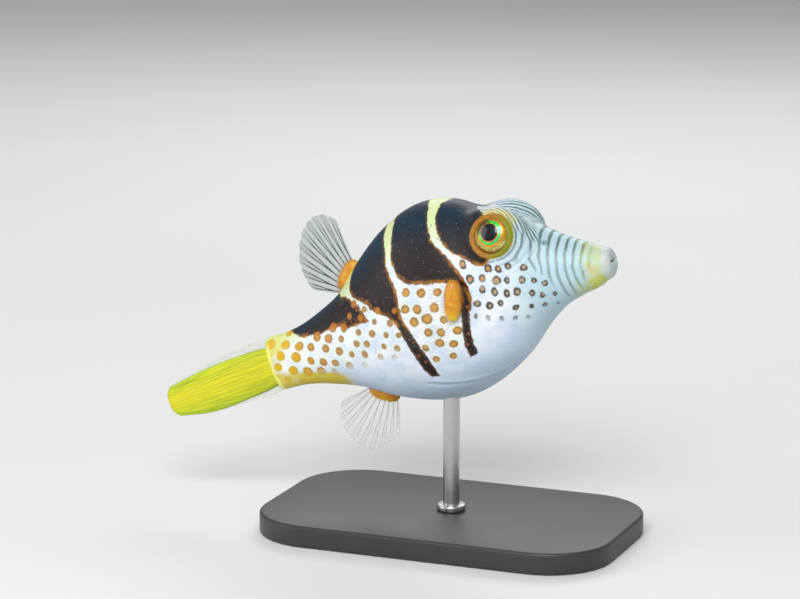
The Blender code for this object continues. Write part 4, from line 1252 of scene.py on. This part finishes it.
def finStreaks(nodes, across, out, detail, roughness):
    # noise drawn out along the fin's rays
    place = nodes.add("ShaderNodeCombineXYZ", {"X": nodes.times(nodes.value("across"), across),
                                               "Y": nodes.times(nodes.value("out"), out)})
    return nodes.noise(1.0, detail, roughness, place.outputs[0])


def tailMaterial():
    material, nodes, shader = newMaterial("tail fin")
    offMiddle = nodes.math("ABSOLUTE", nodes.centred(nodes.value("across")))
    streak = finStreaks(nodes, 60.0, 3.0, 4.0, 0.65)
    hair = nodes.step(finStreaks(nodes, 110.0, 2.0, 3.0, 0.6), 0.42, 0.3)
    base = nodes.mix(nodes.step(streak, 0.3, 0.62), finPaint["tailGreen"], finPaint["tailYellow"])
    base = nodes.tint(base, nodes.step(offMiddle, 0.3, 0.05), 0.6, finPaint["tailMiddle"])
    base = nodes.tint(base, nodes.step(nodes.value("ray"), 0.35, 0.05), 0.2, finPaint["tailGroove"])
    dark = nodes.times(nodes.step(streak, 0.4, 0.3), nodes.step(nodes.value("out"), 1.0, 0.3))
    base = nodes.tint(base, dark, 0.6, finPaint["tailStreak"])
    base = nodes.tint(base, nodes.step(offMiddle, 0.3, 0.46), 0.6, finPaint["tailEdge"])
    base = nodes.tint(base, hair, 0.6, finPaint["tailHair"])
    clear = nodes.step(nodes.value("core"), 0.6, 0.2)
    base = nodes.mix(clear, base, finPaint["tailClear"])
    nodes.feed(shader, {"Base Color": base, "Alpha": nodes.scaled(clear, -0.74, 1.0), "Roughness": 0.46,
                        "Coat Weight": 0.05, "Normal": nodes.bump(0.4, 0.2, streak)})
    return material


def lobeMaterial():
    material, nodes, shader = newMaterial("orange fin root")
    grain, upper = nodes.noise(800.0, 3.0, 0.6), nodes.value("upper")
    base = nodes.mix(nodes.step(grain, 0.3, 0.7), finPaint["lobe"], finPaint["lobeBright"])
    base = nodes.tint(base, nodes.step(upper, -0.6, 1.0), 0.4, finPaint["lobeTop"])
    base = nodes.tint(base, nodes.step(nodes.value("border"), 0.5, 1.0), 0.3, finPaint["lobeBorder"])
    base = nodes.mix(nodes.step(upper, -0.4, -0.95), base, finPaint["lobeFoot"])
    nodes.feed(shader, {"Base Color": base, "Roughness": 0.42, "Coat Weight": 0.15,
                        "Normal": nodes.bump(0.25, 0.1, grain)})
    return material


fins = {
    "dorsal_fin_web": makeFan("dorsal_fin_web", dorsalFin),
    "anal_fin_web": makeFan("anal_fin_web", analFin),
    "pectoral_fin_web_right": makeFan("pectoral_fin_web_right", pectoralFin, -1),
    "pectoral_fin_web_left": makeFan("pectoral_fin_web_left", pectoralFin, 1),
    "tail_fin_rays": makeTailFin(),
}
darkWeb = webMaterial("dorsal web", finPaint["dorsalRay"], finPaint["dorsalWeb"], 0.2, 0.9)
paleWeb = webMaterial("anal web", finPaint["analRay"], finPaint["analWeb"], 0.16, 0.62)
clearWeb = webMaterial("pectoral web", finPaint["pectoralRay"], finPaint["pectoralWeb"], 0.01, 0.09)
fins["dorsal_fin_web"].data.materials.append(darkWeb)
fins["anal_fin_web"].data.materials.append(paleWeb)
for word in ("right", "left"):
    fins["pectoral_fin_web_" + word].data.materials.append(clearWeb)
fins["tail_fin_rays"].data.materials.append(tailMaterial())
rootFinish = lobeMaterial()
roots = {name: makeLobe(name, lobe) for name, lobe in lobes.items()}
for piece in roots.values():
    piece.data.materials.append(rootFinish)
print("fins made")

# Stand: a satin dark plate with a soft edge, and a brushed rod that ends in the belly

stand = {
    "length": 66.0, "width": 40.0, "height": 4.0, "corner": 12.0, "edge": 0.6,
    "rod": 1.5, "rodStart": 1.0, "intoBelly": 3.6,
    "collar": 2.6, "collarHeight": 1.2, "collarEdge": 0.35,
}
standPaint = palette(plate=(38, 39, 41), plateLight=(52, 53, 55), steel=(176, 177, 178),
                     steelLight=(206, 207, 208))


def applyPlace():
    bpy.ops.object.transform_apply(location=True, rotation=True, scale=True)


def selectParts(obj, kind, wanted):
    # selects the edges or faces that are wanted, and stays in edit mode
    bpy.ops.object.mode_set(mode="EDIT")
    bpy.ops.mesh.select_mode(type=kind)
    bpy.ops.mesh.select_all(action="DESELECT")
    bpy.ops.object.mode_set(mode="OBJECT")
    for part in obj.data.edges if kind == "EDGE" else obj.data.polygons:
        part.select = wanted(part)
    bpy.ops.object.mode_set(mode="EDIT")


def softenEdges(obj, width, segments, sharperThan):
    bevel = obj.modifiers.new("soft edge", "BEVEL")
    bevel.width = width * mm
    bevel.segments = segments
    bevel.limit_method = "ANGLE"
    bevel.angle_limit = math.radians(sharperThan)
    bpy.ops.object.modifier_apply(modifier=bevel.name)


def finishStand(obj, material):
    bpy.ops.object.shade_smooth_by_angle(angle=math.radians(40))
    obj.data.materials.append(material)
    return obj


def makeBase():
    length, width, height = (stand[n] * mm for n in ("length", "width", "height"))
    deselectAll()
    bpy.ops.mesh.primitive_cube_add(size=1.0, location=(0, 0, height / 2), scale=(length, width, height))
    obj = namedMesh("stand_plate")
    applyPlace()

    def upright(edge):
        a, b = (obj.data.vertices[i].co for i in edge.vertices)
        return abs(a.z - b.z) > 0.001

    selectParts(obj, "EDGE", upright)
    bpy.ops.mesh.bevel(offset=stand["corner"] * mm, segments=24, affect="EDGES")
    bpy.ops.object.mode_set(mode="OBJECT")
    softenEdges(obj, stand["edge"], 5, 60)
    return finishStand(obj, plateMaterial())


def addCylinder(name, radius, height):
    # upright on the plate
    deselectAll()
    middle = (stand["height"] + height / 2) * mm
    bpy.ops.mesh.primitive_cylinder_add(vertices=64, radius=radius * mm, depth=height * mm,
                                        location=(0, 0, middle))
    obj = namedMesh(name)
    applyPlace()
    return obj


def makeRod(finish):
    # a short start whose top is drawn up into the belly
    obj = addCylinder("stand_post", stand["rod"], stand["rodStart"])
    selectParts(obj, "FACE", lambda face: face.normal.z > 0.9)
    top = stance["height"] + stand["intoBelly"]
    up = (top - stand["height"] - stand["rodStart"]) * mm
    bpy.ops.mesh.extrude_region_move(TRANSFORM_OT_translate={"value": (0, 0, up)})
    bpy.ops.object.mode_set(mode="OBJECT")
    return finishStand(obj, finish)


def makeCollar(finish):
    obj = addCylinder("stand_collar", stand["collar"], stand["collarHeight"])
    softenEdges(obj, stand["collarEdge"], 4, 30)
    return finishStand(obj, finish)


def plateMaterial():
    material, nodes, shader = newMaterial("stand plate")
    cloud = nodes.noise(60.0, 3.0, 0.5)
    nodes.feed(shader, {"Base Color": nodes.mix(cloud, standPaint["plate"], standPaint["plateLight"]),
                        "Roughness": nodes.between(cloud, 0.38, 0.52),
                        "Normal": nodes.bump(0.15, 0.1, nodes.noise(1400.0, 4.0, 0.6))})
    return material


def rodMaterial():
    material, nodes, shader = newMaterial("brushed rod")
    drawnOut = nodes.add("ShaderNodeMapping", {"Vector": nodes.coords, "Scale": (9000.0, 9000.0, 60.0)})
    brushed = nodes.noise(1.0, 3.0, 0.6, drawnOut.outputs[0])
    nodes.feed(shader, {"Base Color": nodes.mix(brushed, standPaint["steel"], standPaint["steelLight"]),
                        "Metallic": 1.0, "Roughness": nodes.between(brushed, 0.22, 0.38),
                        "Normal": nodes.bump(0.1, 0.05, brushed)})
    return material


rodFinish = rodMaterial()
basePiece, rodPiece, collarPiece = makeBase(), makeRod(rodFinish), makeCollar(rodFinish)
print("stand made")

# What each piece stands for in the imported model

for piece in [skinPiece, basePiece, rodPiece, collarPiece, *eyePieces.values(), *lidPieces.values(),
              *fins.values(), *roots.values()]:
    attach(piece, "root")
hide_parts("head", "trunk", "tail_stem")
for word in ("right", "left"):
    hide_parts("eye_" + word)
    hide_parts("pectoral_fin_" + word)
for name in ("dorsal", "anal"):
    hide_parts(name + "_fin")
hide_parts("tail_fin")
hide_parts("stand_base")
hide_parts("stand_rod")

# Floor, lights and camera

# where the camera stands round the fish, in degrees and millimetres, and the pixels it is set by
view = {
    "azimuth": 22.0, "elevation": 13.0, "distance": 600.0, "pixelsPerMm": 5.6,
    "aim": (395.0, 320.0), "tailRoot": (277.0, 363.0), "image": (800.0, 599.0),
}
# each softbox with its place in metres, its power in watts and its size
studio = {
    "softboxes": {
        "key": ((0.10, -0.45, 0.42), 3.0, (0.34, 0.26)),
        "fill": ((-0.5, -0.3, 0.2), 1.1, (0.4, 0.4)),
        "rim": ((-0.1, 0.45, 0.4), 1.6, (0.5, 0.25)),
    },
    "aimHeight": 0.035, "floorSize": 6.0, "skyColour": (0.86, 0.89, 0.92, 1.0), "skyStrength": 0.42,
}


def viewAxes():
    a, e = math.radians(view["azimuth"]), math.radians(view["elevation"])
    back = np.array([math.sin(a) * math.cos(e), -math.cos(a) * math.cos(e), math.sin(e)])
    right = np.array([math.cos(a), math.sin(a), 0.0])
    return right, np.cross(right, -back), back


def makeCamera():
    # the tail fin's root lies on the fish's middle plane, where its own pixel looks
    right, up, back = viewAxes()
    aim, root = view["aim"], view["tailRoot"]
    target = (right * (root[0] - aim[0]) - up * (root[1] - aim[1])) / view["pixelsPerMm"]
    eyePoint = back * view["distance"]
    ray = target - eyePoint
    rootSpot = eyePoint - eyePoint[1] / ray[1] * ray
    where = placeMove + (eyePoint - rootSpot) * mm
    bpy.ops.object.camera_add(location=where)
    camera = bpy.context.object
    camera.rotation_euler = Vector(-back).to_track_quat("-Z", "Y").to_euler()
    width, height = view["image"]
    camera.data.lens = camera.data.sensor_width * view["distance"] * view["pixelsPerMm"] / width
    camera.data.shift_x = (width / 2 - aim[0]) / width
    camera.data.shift_y = (aim[1] - height / 2) / width
    camera.data.clip_start = 0.01
    camera.data.clip_end = 20.0
    bpy.context.scene.camera = camera


def addSoftbox(name, where, power, size):
    lamp = bpy.data.lights.new(name, "AREA")
    lamp.energy = power
    lamp.shape = "RECTANGLE"
    lamp.size, lamp.size_y = size
    obj = bpy.data.objects.new(name, lamp)
    bpy.context.scene.collection.objects.link(obj)
    obj.location = where
    toFish = Vector((0, 0, studio["aimHeight"])) - Vector(where)
    obj.rotation_euler = toFish.to_track_quat("-Z", "Y").to_euler()


def makeFloor():
    deselectAll()
    bpy.ops.mesh.primitive_plane_add(size=studio["floorSize"], location=(0, 0, 0))
    floor = namedMesh("studio_floor")
    material, nodes, shader = newMaterial("studio floor")
    tone = nodes.mix(nodes.noise(8.0, 2.0, 0.5), colour(214, 214, 212), colour(222, 222, 220))
    nodes.feed(shader, {"Base Color": tone, "Roughness": 0.85})
    floor.data.materials.append(material)


def makeSky():
    world = bpy.data.worlds.new("studio")
    bpy.context.scene.world = world
    world.use_nodes = True
    sky = world.node_tree.nodes["Background"].inputs
    sky["Color"].default_value = studio["skyColour"]
    sky["Strength"].default_value = studio["skyStrength"]


makeCamera()
makeFloor()
makeSky()
for lampName, lamp in studio["softboxes"].items():
    addSoftbox(lampName, *lamp)
bpy.context.scene.view_settings.view_transform = "Standard"
print("studio ready")
